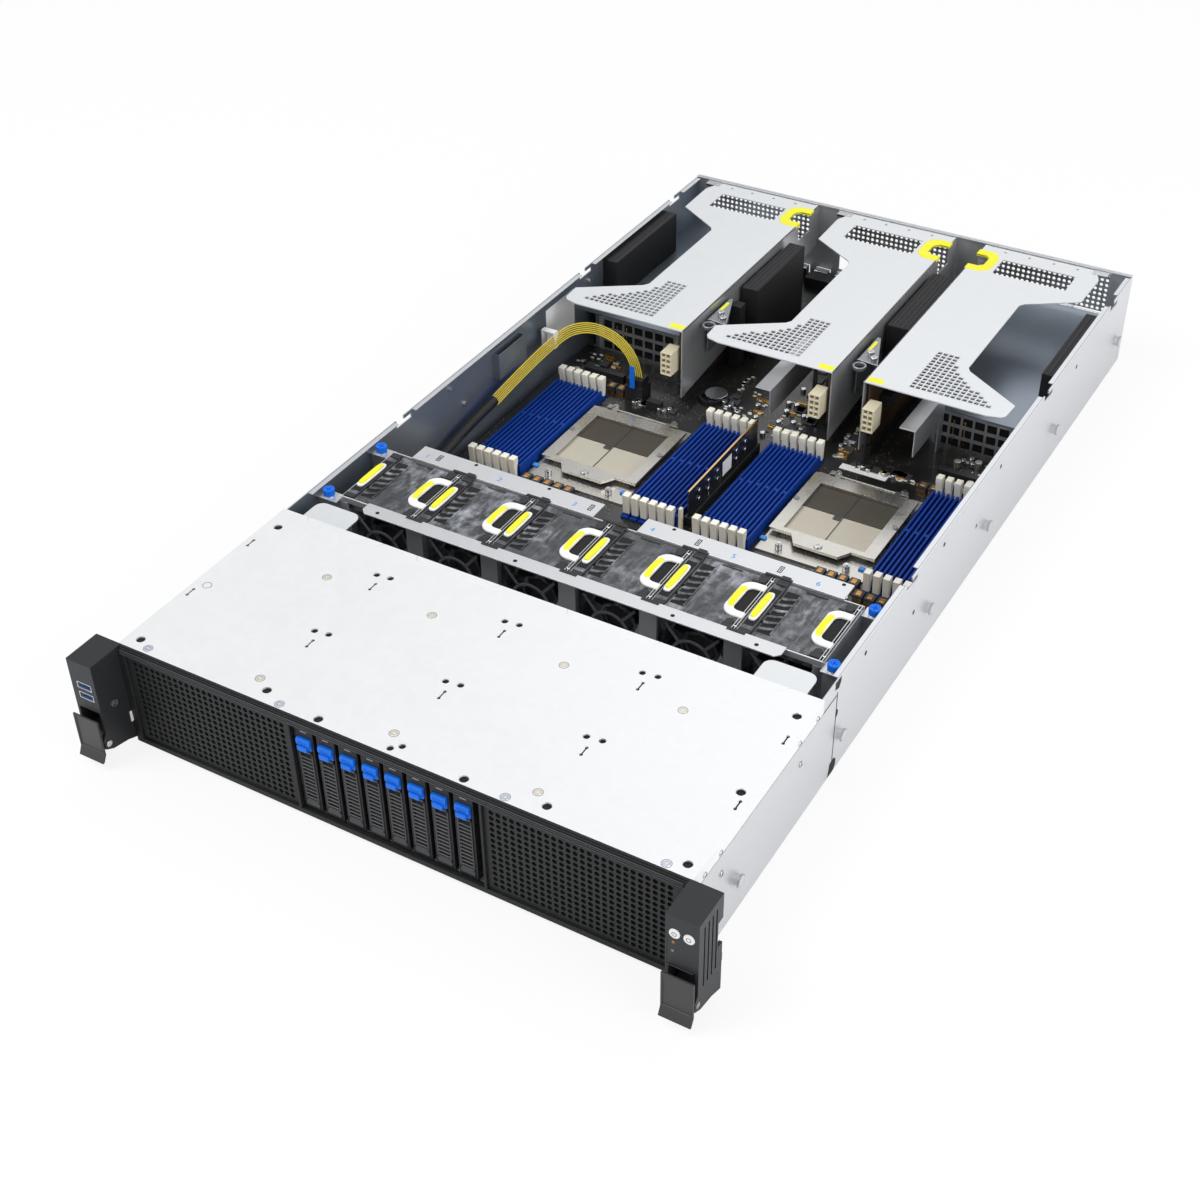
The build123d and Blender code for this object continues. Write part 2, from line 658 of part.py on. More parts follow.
def dimm_socket(x):
    """A memory socket: a long slotted body with a low step for the latch at each end."""
    top = BOARD_TOP + DIMM_H
    side = flat([
        (DIMM_Y0 - 10, BOARD_TOP), (DIMM_Y1 + 10, BOARD_TOP), (DIMM_Y1 + 10, BOARD_TOP + 2),
        (DIMM_Y1, BOARD_TOP + 2), (DIMM_Y1, top), (DIMM_Y0, top),
        (DIMM_Y0, BOARD_TOP + 2), (DIMM_Y0 - 10, BOARD_TOP + 2),
    ])
    body = along_x(side, x - DIMM_W / 2, x + DIMM_W / 2)
    return body - block(x - 0.9, x + 0.9, DIMM_Y0 - 1, DIMM_Y1 + 1, top - 5, top + 1)


def latch_pivot(end):
    """The pivot axis of the memory latches at one end, as (y, z)."""
    y = DIMM_Y0 - 5 if end < 0 else DIMM_Y1 + 5
    return y, BOARD_TOP + 4.6


def dimm_latch(x, end):
    """One ivory memory latch: a rounded foot, an upright and a hooked head."""
    y, z = latch_pivot(end)
    points = [(-1.6, -1.9), (1.6, -1.9), (3.4, LATCH_TOP - z)]
    points += [(-3.6, LATCH_TOP - z), (-3.6, LATCH_TOP - 5 - z), (-2.0, 6)]
    side = flat([(y + end * dy, z + dz) for dy, dz in points])
    return along_x(side, x - LATCH_W / 2, x + LATCH_W / 2)


def frame_pivot():
    """The load frame's hinge axis, as (y, z)."""
    return SOCKET_Y + 47.0, BOARD_TOP + 6.0


def processor_socket(x):
    """The socket's backing plate, contact field and two hinge posts."""
    half = SOCKET_W / 2
    y, z = frame_pivot()
    plate = block(x - half, x + half, SOCKET_Y - 70, SOCKET_Y + 52, BOARD_TOP, BOARD_TOP + 1.5)
    field = block(x - 37, x + 37, SOCKET_Y - 42, SOCKET_Y + 38, BOARD_TOP + 1.5, BOARD_TOP + 4.5)
    bore = bore_x(FRAME_PIN_R + PIN_GAP, x - half, x + half, y, z, SMALL_COUNT)
    for side in (-1, 1):
        plate += block(x + side * 30, x + side * 34, y - 2.6, y + 2.6, BOARD_TOP + 1.5, z + 2.6)
    return plate - bore, field


def socket_frame(x):
    """The steel load frame: windowed plate, screw nose in front and hinge rod behind."""
    half = SOCKET_W / 2 - 0.5
    y, z = frame_pivot()
    face = flat([
        (x - half, y - 4), (x - half, SOCKET_Y - 46), (x - 26, SOCKET_Y - 46), (x - 19, SOCKET_Y - 57),
        (x + 19, SOCKET_Y - 57), (x + 26, SOCKET_Y - 46), (x + half, SOCKET_Y - 46), (x + half, y - 4),
    ])
    face -= rect(x - 35, x + 35, SOCKET_Y - 41, SOCKET_Y + 30)
    frame = along_z(face, z - FRAME_T / 2, z + FRAME_T / 2)
    for side in (-1, 1):
        frame += block(x + side * 24, x + side * 29, y - 4, y + 1.5, z - FRAME_T / 2, z + FRAME_T / 2)
    return frame + rod_x(FRAME_PIN_R, x - 35, x + 35, y, z, SMALL_COUNT)


def riser_card_x(wall_x, side):
    """The X limits of a riser's circuit card."""
    return sorted((wall_x + side * 3.4, wall_x + side * (3.4 + CARD_T)))


def riser_socket(wall_x, side):
    """The board socket that a riser card plugs into."""
    x0, x1 = riser_card_x(wall_x, side)
    y0, y1 = RISER_Y0 + 12, RISER_Y0 + 144
    body = block(x0 - 2.2, x1 + 2.2, y0, y1, BOARD_TOP, BOARD_TOP + 8)
    return body - block(x0 - 0.1, x1 + 0.1, y0 + 1, y1 - 1, BOARD_TOP + 4, BOARD_TOP + 9)


def side_card():
    """The upright card between the inner memory banks, in its own socket."""
    x = 2.0
    y0, y1 = DIMM_Y0 + 6, DIMM_Y1 - 4
    socket = block(x - 3, x + 3, y0, y1, BOARD_TOP, BOARD_TOP + 8)
    socket -= block(x - 0.9, x + 0.9, y0 + 1, y1 - 1, BOARD_TOP + 4, BOARD_TOP + 9)
    card = block(x - 0.7, x + 0.7, y0 + 1.5, y1 - 1.5, BOARD_TOP + 4, BOARD_TOP + 32)
    return socket, card


def z_bracket(x, y0, y1):
    """A steel channel over the board, standing on a leg at its rear end."""
    arm = flat([(x - 13, 61.8), (x, 61.8), (x, 38), (x + SHEET, 38), (x + SHEET, 63), (x - 13, 63)])
    return along_y(arm, y0, y1) + block(x, x + SHEET, y1 - 10, y1, BOARD_TOP, 38)


def board_parts():
    """The larger parts soldered to the board: plugs, coils, a battery holder and heat sinks."""
    front = SOCKET_Y - 86
    low, high = BOARD_TOP, BOARD_TOP + 8
    plug_y = SOCKET_Y + 76
    parts = [block(-138, -120, plug_y, plug_y + 16, low, low + 14)]
    for mid in SOCKET_XS:
        coils = [mid - 34 + 9 * k for k in range(8)]
        parts += [block(x, x + 7, front, front + 7, low, low + 6) for x in coils]
    parts += [Pos(-68, SOCKET_Y + 118) * along_z(RegularPolygon(10.5, FLAT_COUNT), low, low + 4)]
    parts += [block(-113, -99, plug_y - 5, plug_y + 1, low, high)]
    for x0, x1 in ((150, 196), (-190, -150)):
        parts += [block(x0, x1, RISER_Y0 + 9, RISER_Y0 + 15, low, high)]
    parts += [block(20, 32, RISER_Y0 + 44, RISER_Y0 + 84, low, high + 4)]
    parts += [block(x0, x1, RISER_Y1 - 20, RISER_Y1, low, high + 1) for x0, x1 in ((-110, -95), (-88, -20))]
    z_front = SOCKET_Y + 71
    return parts + [z_bracket(5, z_front, z_front + 99), z_bracket(135, z_front, z_front + 67)]


def motherboard():
    """The board and everything fixed to it."""
    pieces = [board_plate()] + standoffs() + [dimm_socket(x) for x in dimm_xs()]
    for x in SOCKET_XS:
        pieces += processor_socket(x)
    pieces += [riser_socket(wall_x, side) for name, wall_x, side, count in riser_rows()]
    return pieces + list(side_card()) + board_parts()


# ---------------------------------------------------------------- risers and air blocks

def riser_outline(wall_x, side):
    """The stepped outline of a riser's top plate, narrow between its two feet."""
    far = RISER_REACH
    steps = [
        (0, RISER_Y0), (far - 15, RISER_Y0 - 1), (far - 1, RISER_Y0 + 6), (far, RISER_Y0 + 24),
        (67, RISER_Y0 + 60), (67, RISER_Y1 - 93), (far - 9, RISER_Y1 - 63), (far - 8, RISER_Y1 - 18),
        (far - 16, RISER_Y1), (0, RISER_Y1),
    ]
    face = flat([(wall_x + side * x, y) for x, y in steps])
    face -= rect(wall_x + side * 25, wall_x + side * 93, RISER_Y1 - 50, RISER_Y1 - 21)
    return face - rect(wall_x - side, wall_x + side * 13, RISER_Y1 - 43, RISER_Y1 - 21)


def riser_vents(wall_x, side):
    """The square perforations at the front of a riser's top plate."""
    spots = [(46 + 22 * col, 19 + 15 * row) for row in range(2) for col in range(3)]
    spots += [(46, 49)]
    return [Pos(wall_x + side * x, RISER_Y0 + y) * Rectangle(16, 9) for x, y in spots]


def riser(wall_x, side, count):
    """A riser: bent bracket, circuit card, card slots and power socket."""
    top = RISER_TOP - SHEET
    face = riser_outline(wall_x, side) - riser_vents(wall_x, side)
    bracket = along_z(face, top, RISER_TOP)
    wall = flat([(RISER_Y0, 20), (RISER_Y1, 46), (RISER_Y1, top), (RISER_Y0, top)])
    wall -= rect(RISER_Y1 - 45, RISER_Y1 - 19, top - 18, top)
    bracket += along_x(wall, wall_x, wall_x + side * SHEET)
    x0, x1 = riser_span(wall_x, side)
    covers = rect(x0 - 4, x1 + 4, 46, top)
    for row in range(2):
        z = 50 + 18.5 * row
        covers -= [rect(x0 + 4 + 36 * k, x0 + 34 + 36 * k, z, z + 12) for k in range(3)]
    bracket += along_y(covers, RISER_Y1 - SHEET, RISER_Y1)
    card_x0, card_x1 = riser_card_x(wall_x, side)
    y0, y1 = RISER_Y0 + 14, RISER_Y0 + 142
    card = along_x(flat([
        (y0, BOARD_TOP + 4), (y1, BOARD_TOP + 4), (y1, 40), (y1 + 8, 40), (y1 + 8, top),
        (y0 - 10, top), (y0 - 10, 34), (y0, 34),
    ]), card_x0, card_x1)
    face_x = card_x1 if side > 0 else card_x0
    levels = [78 - SLOT_PITCH * k for k in range(count)]
    sockets = [block(face_x, face_x + side * 11, y0 + 12, y0 + 102, z - 4, z + 4) for z in levels]
    power = block(face_x, face_x + side * 10.5, y0 - 11, y0 + 6, 46, 68)
    return [bracket, card, power] + sockets


def air_blocks():
    """The black blocks that steer air past the card bays."""
    shelf = FLOOR + PSU_H + 2 * PSU_GAP + CAGE_T
    left_gap = RISER_WALL_XS[0] + BLOCK_GAP
    right_gap = RISER_WALL_XS[1] + BLOCK_GAP
    front, back = RISER_Y0 + 107, RISER_Y1 - 71
    side_front, side_back = RISER_Y0 + 90, RISER_Y1 - 72
    return [
        block(-WALL_X, -WALL_X + SIDE_BLOCK, side_front, side_back, shelf, BLOCK_TOP + 2),
        block(WALL_X - SIDE_BLOCK, WALL_X, side_front, side_back, shelf, BLOCK_TOP + 2),
        block(left_gap, left_gap + 16, front, back, BOARD_TOP, BLOCK_TOP),
        block(left_gap, left_gap + 10, front - 22, front - 11, BOARD_TOP, BLOCK_TOP - 8),
        block(right_gap, right_gap + 21, front, back + 8, BOARD_TOP, BLOCK_TOP),
    ]


# ---------------------------------------------------------------- power supplies

def power_supply(side):
    """A slide-out supply: cased body, inner grid, fan mouth, inlet and handle loop."""
    x0, x1 = side * PSU_X - PSU_W / 2, side * PSU_X + PSU_W / 2
    z0, z1 = FLOOR + PSU_GAP, FLOOR + PSU_GAP + PSU_H
    body = block(x0, x1, PSU_Y0, BODY_L, z0, z1)
    cells = [
        block(x0 + 4 + 20 * k, x0 + 20 + 20 * k, PSU_Y0 - 1, PSU_Y0 + 4, z, z + 9)
        for k in range(4) for z in (z0 + 4, z0 + 15.5, z0 + 27)
    ]
    mouth = bore_y(16.5, BODY_L - 6, BODY_L + 1, x0 + 21, z0 + 20)
    inlet = block(x1 - 36, x1 - 9, BODY_L - 14, BODY_L + 1, z0 + 11, z0 + 31)
    body = body - cells - mouth - inlet
    arch = flat([
        (BODY_L, z0 + 3), (BODY_L + PSU_HANDLE - 4, z0 + 3), (BODY_L + PSU_HANDLE, z0 + 7),
        (BODY_L + PSU_HANDLE, z1 - 7), (BODY_L + PSU_HANDLE - 4, z1 - 3), (BODY_L, z1 - 3),
    ])
    arch -= rect(BODY_L - 1, BODY_L + PSU_HANDLE - 4, z0 + 7, z1 - 7)
    return body + along_x(arch, x0 + 39.5, x0 + 43.5)


def psu_latch_box(side):
    """The X limits of a supply's release tab, beside its handle."""
    x1 = side * PSU_X + PSU_W / 2
    return x1 - 6.5, x1 - 1.5


def psu_latch(side):
    """The release tab at a supply's rear edge, pressed toward the handle."""
    x0, x1 = psu_latch_box(side)
    z = FLOOR + PSU_GAP + PSU_H / 2
    tab = flat([
        (x1, BODY_L + 0.2), (x1, BODY_L + 14), (x1 - 2.5, BODY_L + 16), (x1 - 2.5, BODY_L + 2),
        (x0, BODY_L + 2), (x0, BODY_L + 0.2),
    ])
    return along_z(tab, z - 8, z + 8)


# ---------------------------------------------------------------- power cable

CABLE_R = 4.5
def cable_points():
    """The cable's route: from its plug to the left wall, forward along it and round to the drives."""
    plug_y = SOCKET_Y + 84
    drive_y = FAN_Y0 - 58
    return (
        (-129, plug_y, 24), (-129, plug_y, 44), (-150, plug_y + 3, 63),
        (-WALL_X + 35.8, plug_y + 3, 67), (-WALL_X + 14.8, plug_y - 18, 60),
        (-WALL_X + 12.8, plug_y - 114, 45), (-WALL_X + 9.8, plug_y - 170, 38),
        (-WALL_X + 6.8, FAN_Y1 + 40.5, 19), (-WALL_X + 6.3, FAN_Y1 - 4.5, 14),
        (-WALL_X + 10.8, FAN_Y0 - 23, 12), (-165, drive_y, 12), (-80, drive_y, 15),
        (-60, drive_y - 12, 22),
    )


def arc_radii(points):
    """The largest arc that each corner of a cable's route has room for."""
    radii = []
    for before, corner, after in zip(points, points[1:], points[2:]):
        one = Vector(*corner) - Vector(*before)
        two = Vector(*after) - Vector(*corner)
        turn = math.radians(one.get_angle(two))
        radii.append(0.45 * min(one.length, two.length) / math.tan(turn / 2))
    return radii


def power_cable():
    """The yellow power cable, held along the left wall from the board to the backplane."""
    points = cable_points()
    path = FilletPolyline(*points, radius=arc_radii(points))
    start = Plane(origin=points[0], z_dir=path % 0)
    return sweep(start * RegularPolygon(CABLE_R, 4), path=path)


# ---------------------------------------------------------------- all the nodes

def write_front():
    """The chassis, cover, bezel, ears, buttons and drives."""
    save("chassis", tray(), rear_panel(), psu_cage(-1), psu_cage(1), cable_guide(), *studs())
    save("front_cover", front_cover())
    save("front_bezel", *front_bezel())
    save("rack_ears", *left_ear(), right_ear())
    for name, side in (("ear_latch_left", -1), ("ear_latch_right", 1)):
        save(name, ear_latch(side))
    for name, spot in zip(("power_button", "id_button"), button_spots()):
        save(name, push_button(*spot))
    save("drive_cage", *drive_cage())
    for bay, x in enumerate(bay_centres(), start=1):
        save(f"drive_carrier_{bay}", *drive_carrier(x))
        save(f"carrier_lever_{bay}", carrier_lever(x))
        save(f"release_button_{bay}", release_button(x))


def write_inside():
    """The fans, board, risers, supplies, blocks and cable."""
    save("fan_wall", *fan_frame(), *thumb_screws())
    for index in range(FANS):
        save(f"fan_module_{index + 1}", fan_housing(index), fan_handle(index), fan_latch(index))
        save(f"fan_rotor_{index + 1}", fan_rotor(index))
    save("motherboard", *motherboard())
    for name, end in (("dimm_latches_front", -1), ("dimm_latches_rear", 1)):
        save(name, *[dimm_latch(x, end) for x in dimm_xs()])
    for name, x in zip(("socket_frame_left", "socket_frame_right"), SOCKET_XS):
        save(name, socket_frame(x))
    for name, wall_x, side, count in riser_rows():
        save(name, *riser(wall_x, side, count))
    save("air_blocks", *air_blocks())
    for name, side in (("left", -1), ("right", 1)):
        save(f"psu_{name}", power_supply(side))
        save(f"psu_latch_{name}", psu_latch(side))
    save("power_cable", power_cable())


os.makedirs("parts", exist_ok=True)
write_front()
write_inside()
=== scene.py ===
import math
import random

import bpy
from mathutils import Matrix, Vector


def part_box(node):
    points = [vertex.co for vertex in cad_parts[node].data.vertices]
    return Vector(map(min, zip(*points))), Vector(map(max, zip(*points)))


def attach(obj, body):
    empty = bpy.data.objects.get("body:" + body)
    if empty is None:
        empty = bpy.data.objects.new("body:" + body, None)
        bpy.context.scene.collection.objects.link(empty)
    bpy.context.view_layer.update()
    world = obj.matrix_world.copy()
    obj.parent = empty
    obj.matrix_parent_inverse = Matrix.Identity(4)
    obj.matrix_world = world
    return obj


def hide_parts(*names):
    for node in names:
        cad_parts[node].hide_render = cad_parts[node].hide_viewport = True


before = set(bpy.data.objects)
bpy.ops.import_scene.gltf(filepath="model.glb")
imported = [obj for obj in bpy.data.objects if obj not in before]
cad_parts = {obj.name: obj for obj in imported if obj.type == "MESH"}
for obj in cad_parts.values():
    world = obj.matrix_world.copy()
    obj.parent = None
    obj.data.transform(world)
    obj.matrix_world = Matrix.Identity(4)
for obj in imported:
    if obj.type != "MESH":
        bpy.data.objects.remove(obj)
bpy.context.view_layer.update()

bl_info = {
    "name": "Two-unit rack server",
    "version": (1, 0, 0),
    "blender": (4, 5, 0),
    "location": "3D View > Sidebar > Server",
    "description": "Dresses the packed rack server, piece by piece, and sets its stage",
    "category": "Object",
}

# Sizes here are millimetres: X across the rack, Y back from the front edge of the tray, Z up.
MM = 0.001
FRONT_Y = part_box("chassis")[0].y


def ours(low, high):
    """Two corners of the scene's metres in this file's millimetres."""
    shift = Vector((0, FRONT_Y, 0))
    return (low - shift) / MM, (high - shift) / MM


def ends(node):
    """The lowest and highest corner of a CAD node."""
    return ours(*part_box(node))


SIDES = (-1, 1)                     # the left and the right
BACK, TOP = ends("chassis")[1].yz   # the rear face of the tray and the top of its walls
COVER_HIGH = ends("front_cover")[1]
HALF = COVER_HIGH.x - 1.0           # half the tray's width, inside the cover's flanges
BEZEL_LOW, BEZEL_HIGH = ends("front_bezel")
BEAM_TOP = 86.0                     # top of the fan wall's two beams
CAP_TOP = 83.8                      # top of the fan modules' caps, just sunk in
BOARD_TOP = 10.0                    # upper face of the main board, just sunk in
RISER_TOP = 86.5
RISER_FRONT, RISER_BACK = 556.0, 833.0
BAYS, BAY_PITCH = 8, 17.66
FANS, FAN_PITCH = 6, 66.4


# ---------------------------------------------------------------- shapes

def spot(x, y, z):
    """A point of this file's millimetres as one of the scene's metres."""
    return Vector((x * MM, FRONT_Y + y * MM, z * MM))


def place(axis, u, v, along):
    """The scene point of an outline's (u, v) at a distance along an axis."""
    order = {"X": (along, u, v), "Y": (u, along, v), "Z": (u, v, along)}
    return spot(*order[axis])


def alone(*objects):
    """Selects these objects only; the first is the active one."""
    if bpy.context.mode != "OBJECT":
        bpy.ops.object.mode_set(mode="OBJECT")
    bpy.ops.object.select_all(action="DESELECT")
    for item in objects:
        item.select_set(True)
    bpy.context.view_layer.objects.active = objects[0]


def settle(obj):
    """Puts an object's place and size into its mesh."""
    alone(obj)
    bpy.ops.object.transform_apply(location=True, rotation=True, scale=True)
    return obj


def discard(*objects):
    """Deletes objects that only served to make others."""
    for item in objects:
        bpy.data.objects.remove(item, do_unlink=True)


def block(x, y, z):
    """A box between the two limits of each axis."""
    bpy.ops.object.select_all(action="DESELECT")
    sizes = [abs(pair[1] - pair[0]) * MM for pair in (x, y, z)]
    middle = spot(*[(pair[0] + pair[1]) / 2 for pair in (x, y, z)])
    bpy.ops.mesh.primitive_cube_add(size=1, location=middle, scale=sizes)
    return settle(bpy.context.object)


def thicken(obj, axis, low, high):
    """Extrudes the active flat mesh along an axis and turns its faces outwards."""
    step = place(axis, 0, 0, high) - place(axis, 0, 0, low)
    bpy.ops.object.mode_set(mode="EDIT")
    bpy.ops.mesh.select_all(action="SELECT")
    bpy.ops.mesh.extrude_region_move(TRANSFORM_OT_translate={"value": step})
    bpy.ops.mesh.select_all(action="SELECT")
    bpy.ops.mesh.normals_make_consistent(inside=False)
    bpy.ops.object.mode_set(mode="OBJECT")
    return obj


def prism(outline, axis, low, high):
    """An outline in an axis's cross plane, extruded along that axis."""
    bpy.ops.object.select_all(action="DESELECT")
    bpy.ops.mesh.primitive_circle_add(vertices=len(outline), fill_type="NGON")
    obj = bpy.context.object
    for vertex, (u, v) in zip(obj.data.vertices, outline):
        vertex.co = place(axis, u, v, low)
    return thicken(obj, axis, low, high)


def plate(axis, u, v, low, high):
    """A rectangle in an axis's cross plane, extruded along that axis."""
    outline = [(u[0], v[0]), (u[1], v[0]), (u[1], v[1]), (u[0], v[1])]
    return prism(outline, axis, low, high)


def rod(axis, u, v, low, high, radius, sides=20):
    """A round bar along an axis."""
    turns = {"X": (0, math.pi / 2, 0), "Y": (-math.pi / 2, 0, 0), "Z": (0, 0, 0)}
    bpy.ops.object.select_all(action="DESELECT")
    bpy.ops.mesh.primitive_cylinder_add(
        vertices=sides, radius=radius * MM, depth=abs(high - low) * MM,
        location=place(axis, u, v, (low + high) / 2), rotation=turns[axis])
    return settle(bpy.context.object)


def ring(axis, u, v, low, high, outer, inner, sides=24):
    """A round collar with a hole through it."""
    collar = rod(axis, u, v, low, high, outer, sides)
    return cut(collar, rod(axis, u, v, low - 1, high + 1, inner, sides))


def join(pieces):
    """One object made of several."""
    pieces = list(pieces)
    alone(*pieces)
    if len(pieces) > 1:
        bpy.ops.object.join()
    return bpy.context.object


def apply_all(obj):
    """Applies an object's modifiers in order."""
    alone(obj)
    for modifier in list(obj.modifiers):
        bpy.ops.object.modifier_apply(modifier=modifier.name)
    return obj


def cut(obj, *cutters):
    """Takes the cutters' shape out of an object."""
    cutter = join(cutters)
    modifier = obj.modifiers.new("cut", "BOOLEAN")
    modifier.operation = "DIFFERENCE"
    modifier.solver = "EXACT"
    modifier.use_self = len(cutters) > 1
    modifier.object = cutter
    apply_all(obj)
    discard(cutter)
    return obj


def edging(obj, width, segments=2, angle=35):
    """Adds the modifier that rounds an object's sharp edges by a width."""
    modifier = obj.modifiers.new("edging", "BEVEL")
    modifier.width = width * MM
    modifier.segments = segments
    modifier.limit_method = "ANGLE"
    modifier.angle_limit = math.radians(angle)
    return obj


def soften(obj, width, segments=2, angle=35):
    """Rounds an object's sharp edges by a width."""
    return apply_all(edging(obj, width, segments, angle))


def again(obj, x=0, y=0, z=0):
    """A copy of an object, with a mesh of its own, moved by a step."""
    twin = obj.copy()
    twin.data = obj.data.copy()
    bpy.context.collection.objects.link(twin)
    twin.data.transform(Matrix.Translation(Vector((x, y, z)) * MM))
    return twin


def row(obj, count, x=0, z=0):
    """A row of copies of an object, across or up, the first where it is, as one object."""
    return join([obj] + [again(obj, x * k, 0, z * k) for k in range(1, count)])


def copies(obj, spots):
    """One object of an object's copies, moved by each of the given steps."""
    made = join([again(obj, *step) for step in spots])
    discard(obj)
    return made


def file_name(words):
    """Plain words as the name of a piece or material."""
    return words.replace(" ", "_")


def seat(shapes, name, colour, soft=0, steps=2, body="chassis", stands_for=(), smooth=30):
    """Makes shapes one piece with soft edges and a finish, and lets it ride on its body."""
    obj = join(shapes if isinstance(shapes, list) else [shapes])
    if soft:
        soften(obj, soft, steps)
    obj.data.materials.clear()
    obj.data.materials.append(FINISHES[colour])
    alone(obj)
    bpy.ops.object.shade_smooth_by_angle(angle=math.radians(smooth))
    flatten = obj.modifiers.new("flatten", "WEIGHTED_NORMAL")
    flatten.keep_sharp = True
    apply_all(obj)
    obj.name = name
    obj.data.name = name
    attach(obj, body)
    if stands_for:
        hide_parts(*stands_for)


def cad_copy(node):
    """A welded copy of a CAD node's mesh, ready to be worked on, one object for each solid."""
    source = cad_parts[node]
    twin = bpy.data.objects.new(node + "_copy", source.data.copy())
    bpy.context.collection.objects.link(twin)
    alone(twin)
    bpy.ops.object.mode_set(mode="EDIT")
    bpy.ops.mesh.select_all(action="SELECT")
    bpy.ops.mesh.remove_doubles(threshold=1e-6)
    bpy.ops.mesh.dissolve_limited(angle_limit=math.radians(2))
    bpy.ops.mesh.separate(type="LOOSE")
    bpy.ops.object.mode_set(mode="OBJECT")
    return list(bpy.context.selected_objects)


def span(obj):
    """The lowest and highest corner of an object's mesh."""
    columns = list(zip(*(vertex.co for vertex in obj.data.vertices)))
    return ours(Vector(map(min, columns)), Vector(map(max, columns)))


# ---------------------------------------------------------------- finishes

# By plain names, because the CAD nodes' own materials have such names too.
FINISHES = {}


class Socket:
    """An output of a material's node, which can stand in sums."""

    def __init__(self, surface, link):
        self.surface = surface
        self.link = link

    def maths(self, operation, *values):
        """Adds a Math node that works on the values in order."""
        return self.surface.node("ShaderNodeMath", {"operation": operation}, dict(enumerate(values)))

    def __add__(self, other):
        return self.maths("ADD", self, other)

    __radd__ = __add__

    def __mul__(self, other):
        return self.maths("MULTIPLY", self, other)

    __rmul__ = __mul__

    def __abs__(self):
        return self.maths("ABSOLUTE", self)

    def __lt__(self, other):
        return self.maths("LESS_THAN", self, other)

    def __gt__(self, other):
        return self.maths("GREATER_THAN", self, other)


class Finish:
    """A procedural material on object coordinates, kept in FINISHES by its plain name."""

    def __init__(self, name, colour, roughness, metallic=0.0, coat=0.0):
        self.material = bpy.data.materials.new(file_name(name))
        FINISHES[name] = self.material
        self.material.use_nodes = True
        self.tree = self.material.node_tree
        self.shader = self.tree.nodes["Principled BSDF"]
        self.set("Base Color", (*colour, 1))
        self.set("Roughness", roughness)
        self.set("Metallic", metallic)
        self.set("Coat Weight", coat)

    def set(self, name, value):
        """Gives one of the shader's sockets a value or a link."""
        if isinstance(value, Socket):
            self.tree.links.new(value.link, self.shader.inputs[name])
        else:
            self.shader.inputs[name].default_value = value

    def node(self, kind, settings, values, output=0):
        """Adds a node, sets it up, fills its sockets and returns one of its outputs."""
        made = self.tree.nodes.new(kind)
        for name, value in settings.items():
            if name == "stops":
                self.stops(made.color_ramp, value)
            else:
                setattr(made, name, value)
        for name, value in values.items():
            if isinstance(value, Socket):
                self.tree.links.new(value.link, made.inputs[name])
            else:
                made.inputs[name].default_value = value
        return Socket(self, made.outputs[output])

    def stops(self, ramp, stops):
        """Sets a ramp's stops, each a place and a grey level."""
        while len(ramp.elements) < len(stops):
            ramp.elements.new(0.5)
        for element, (where, level) in zip(ramp.elements, stops):
            element.position = where
            element.color = (level, level, level, 1)

    def point(self, scale=(1, 1, 1)):
        """The object coordinates in millimetres, stretched by a scale."""
        coordinates = self.node("ShaderNodeTexCoord", {}, {}, 3)
        size = [1000 * value for value in scale]
        return self.node("ShaderNodeMapping", {}, {"Vector": coordinates, "Scale": size})

    def noise(self, scale, detail=3, stretch=(1, 1, 1)):
        """Cloudy noise whose marks are about 1/scale millimetres across."""
        values = {"Vector": self.point(stretch), "Scale": scale, "Detail": detail}
        return self.node("ShaderNodeTexNoise", {}, values)

    def ramp(self, value, *stops):
        """A value passed through a ramp of grey levels."""
        return self.node("ShaderNodeValToRGB", {"stops": stops}, {"Fac": value})

    def blend(self, mask, first, second):
        """The first colour where the mask is 0 and the second where it is 1."""
        values = {0: mask, 6: first if isinstance(first, Socket) else (*first, 1),
                  7: second if isinstance(second, Socket) else (*second, 1)}
        return self.node("ShaderNodeMix", {"data_type": "RGBA"}, values, 2)

    def tint(self, mask, colour, low, high):
        """Varies the base colour: shaded by low where the mask is 0 and by high where it is 1."""
        self.set("Base Color", self.blend(mask, shade(colour, low), shade(colour, high)))

    def bump(self, height, depth):
        """Feeds a height, in a depth of millimetres, to the shader's normal."""
        values = {"Height": height, "Distance": depth * MM, "Strength": 1.0}
        self.set("Normal", self.node("ShaderNodeBump", {}, values))


def shade(colour, factor):
    """A colour made lighter or darker."""
    return tuple(min(1.0, part * factor) for part in colour)


def zinc_steel(name, colour, roughness, metallic):
    """Zinc-coated sheet: faint spangle, a rolled grain and cloudy gloss."""
    steel = Finish(name, colour, roughness, metallic)
    grain = steel.noise(0.9, 2, (1, 0.06, 1))
    cloud = steel.noise(0.012)
    values = {"Vector": steel.point(), "Scale": 0.14}
    spangle = steel.node("ShaderNodeTexVoronoi", {"feature": "F1"}, values, 1)
    level = steel.node("ShaderNodeSeparateColor", {}, {"Color": spangle})
    mix = level * 0.25 + grain * 0.35 + cloud * 0.4
    steel.tint(mix, colour, 0.95, 1.03)
    steel.set("Roughness", mix * 0.16 + (roughness - 0.08))
    steel.bump(grain, 0.006)


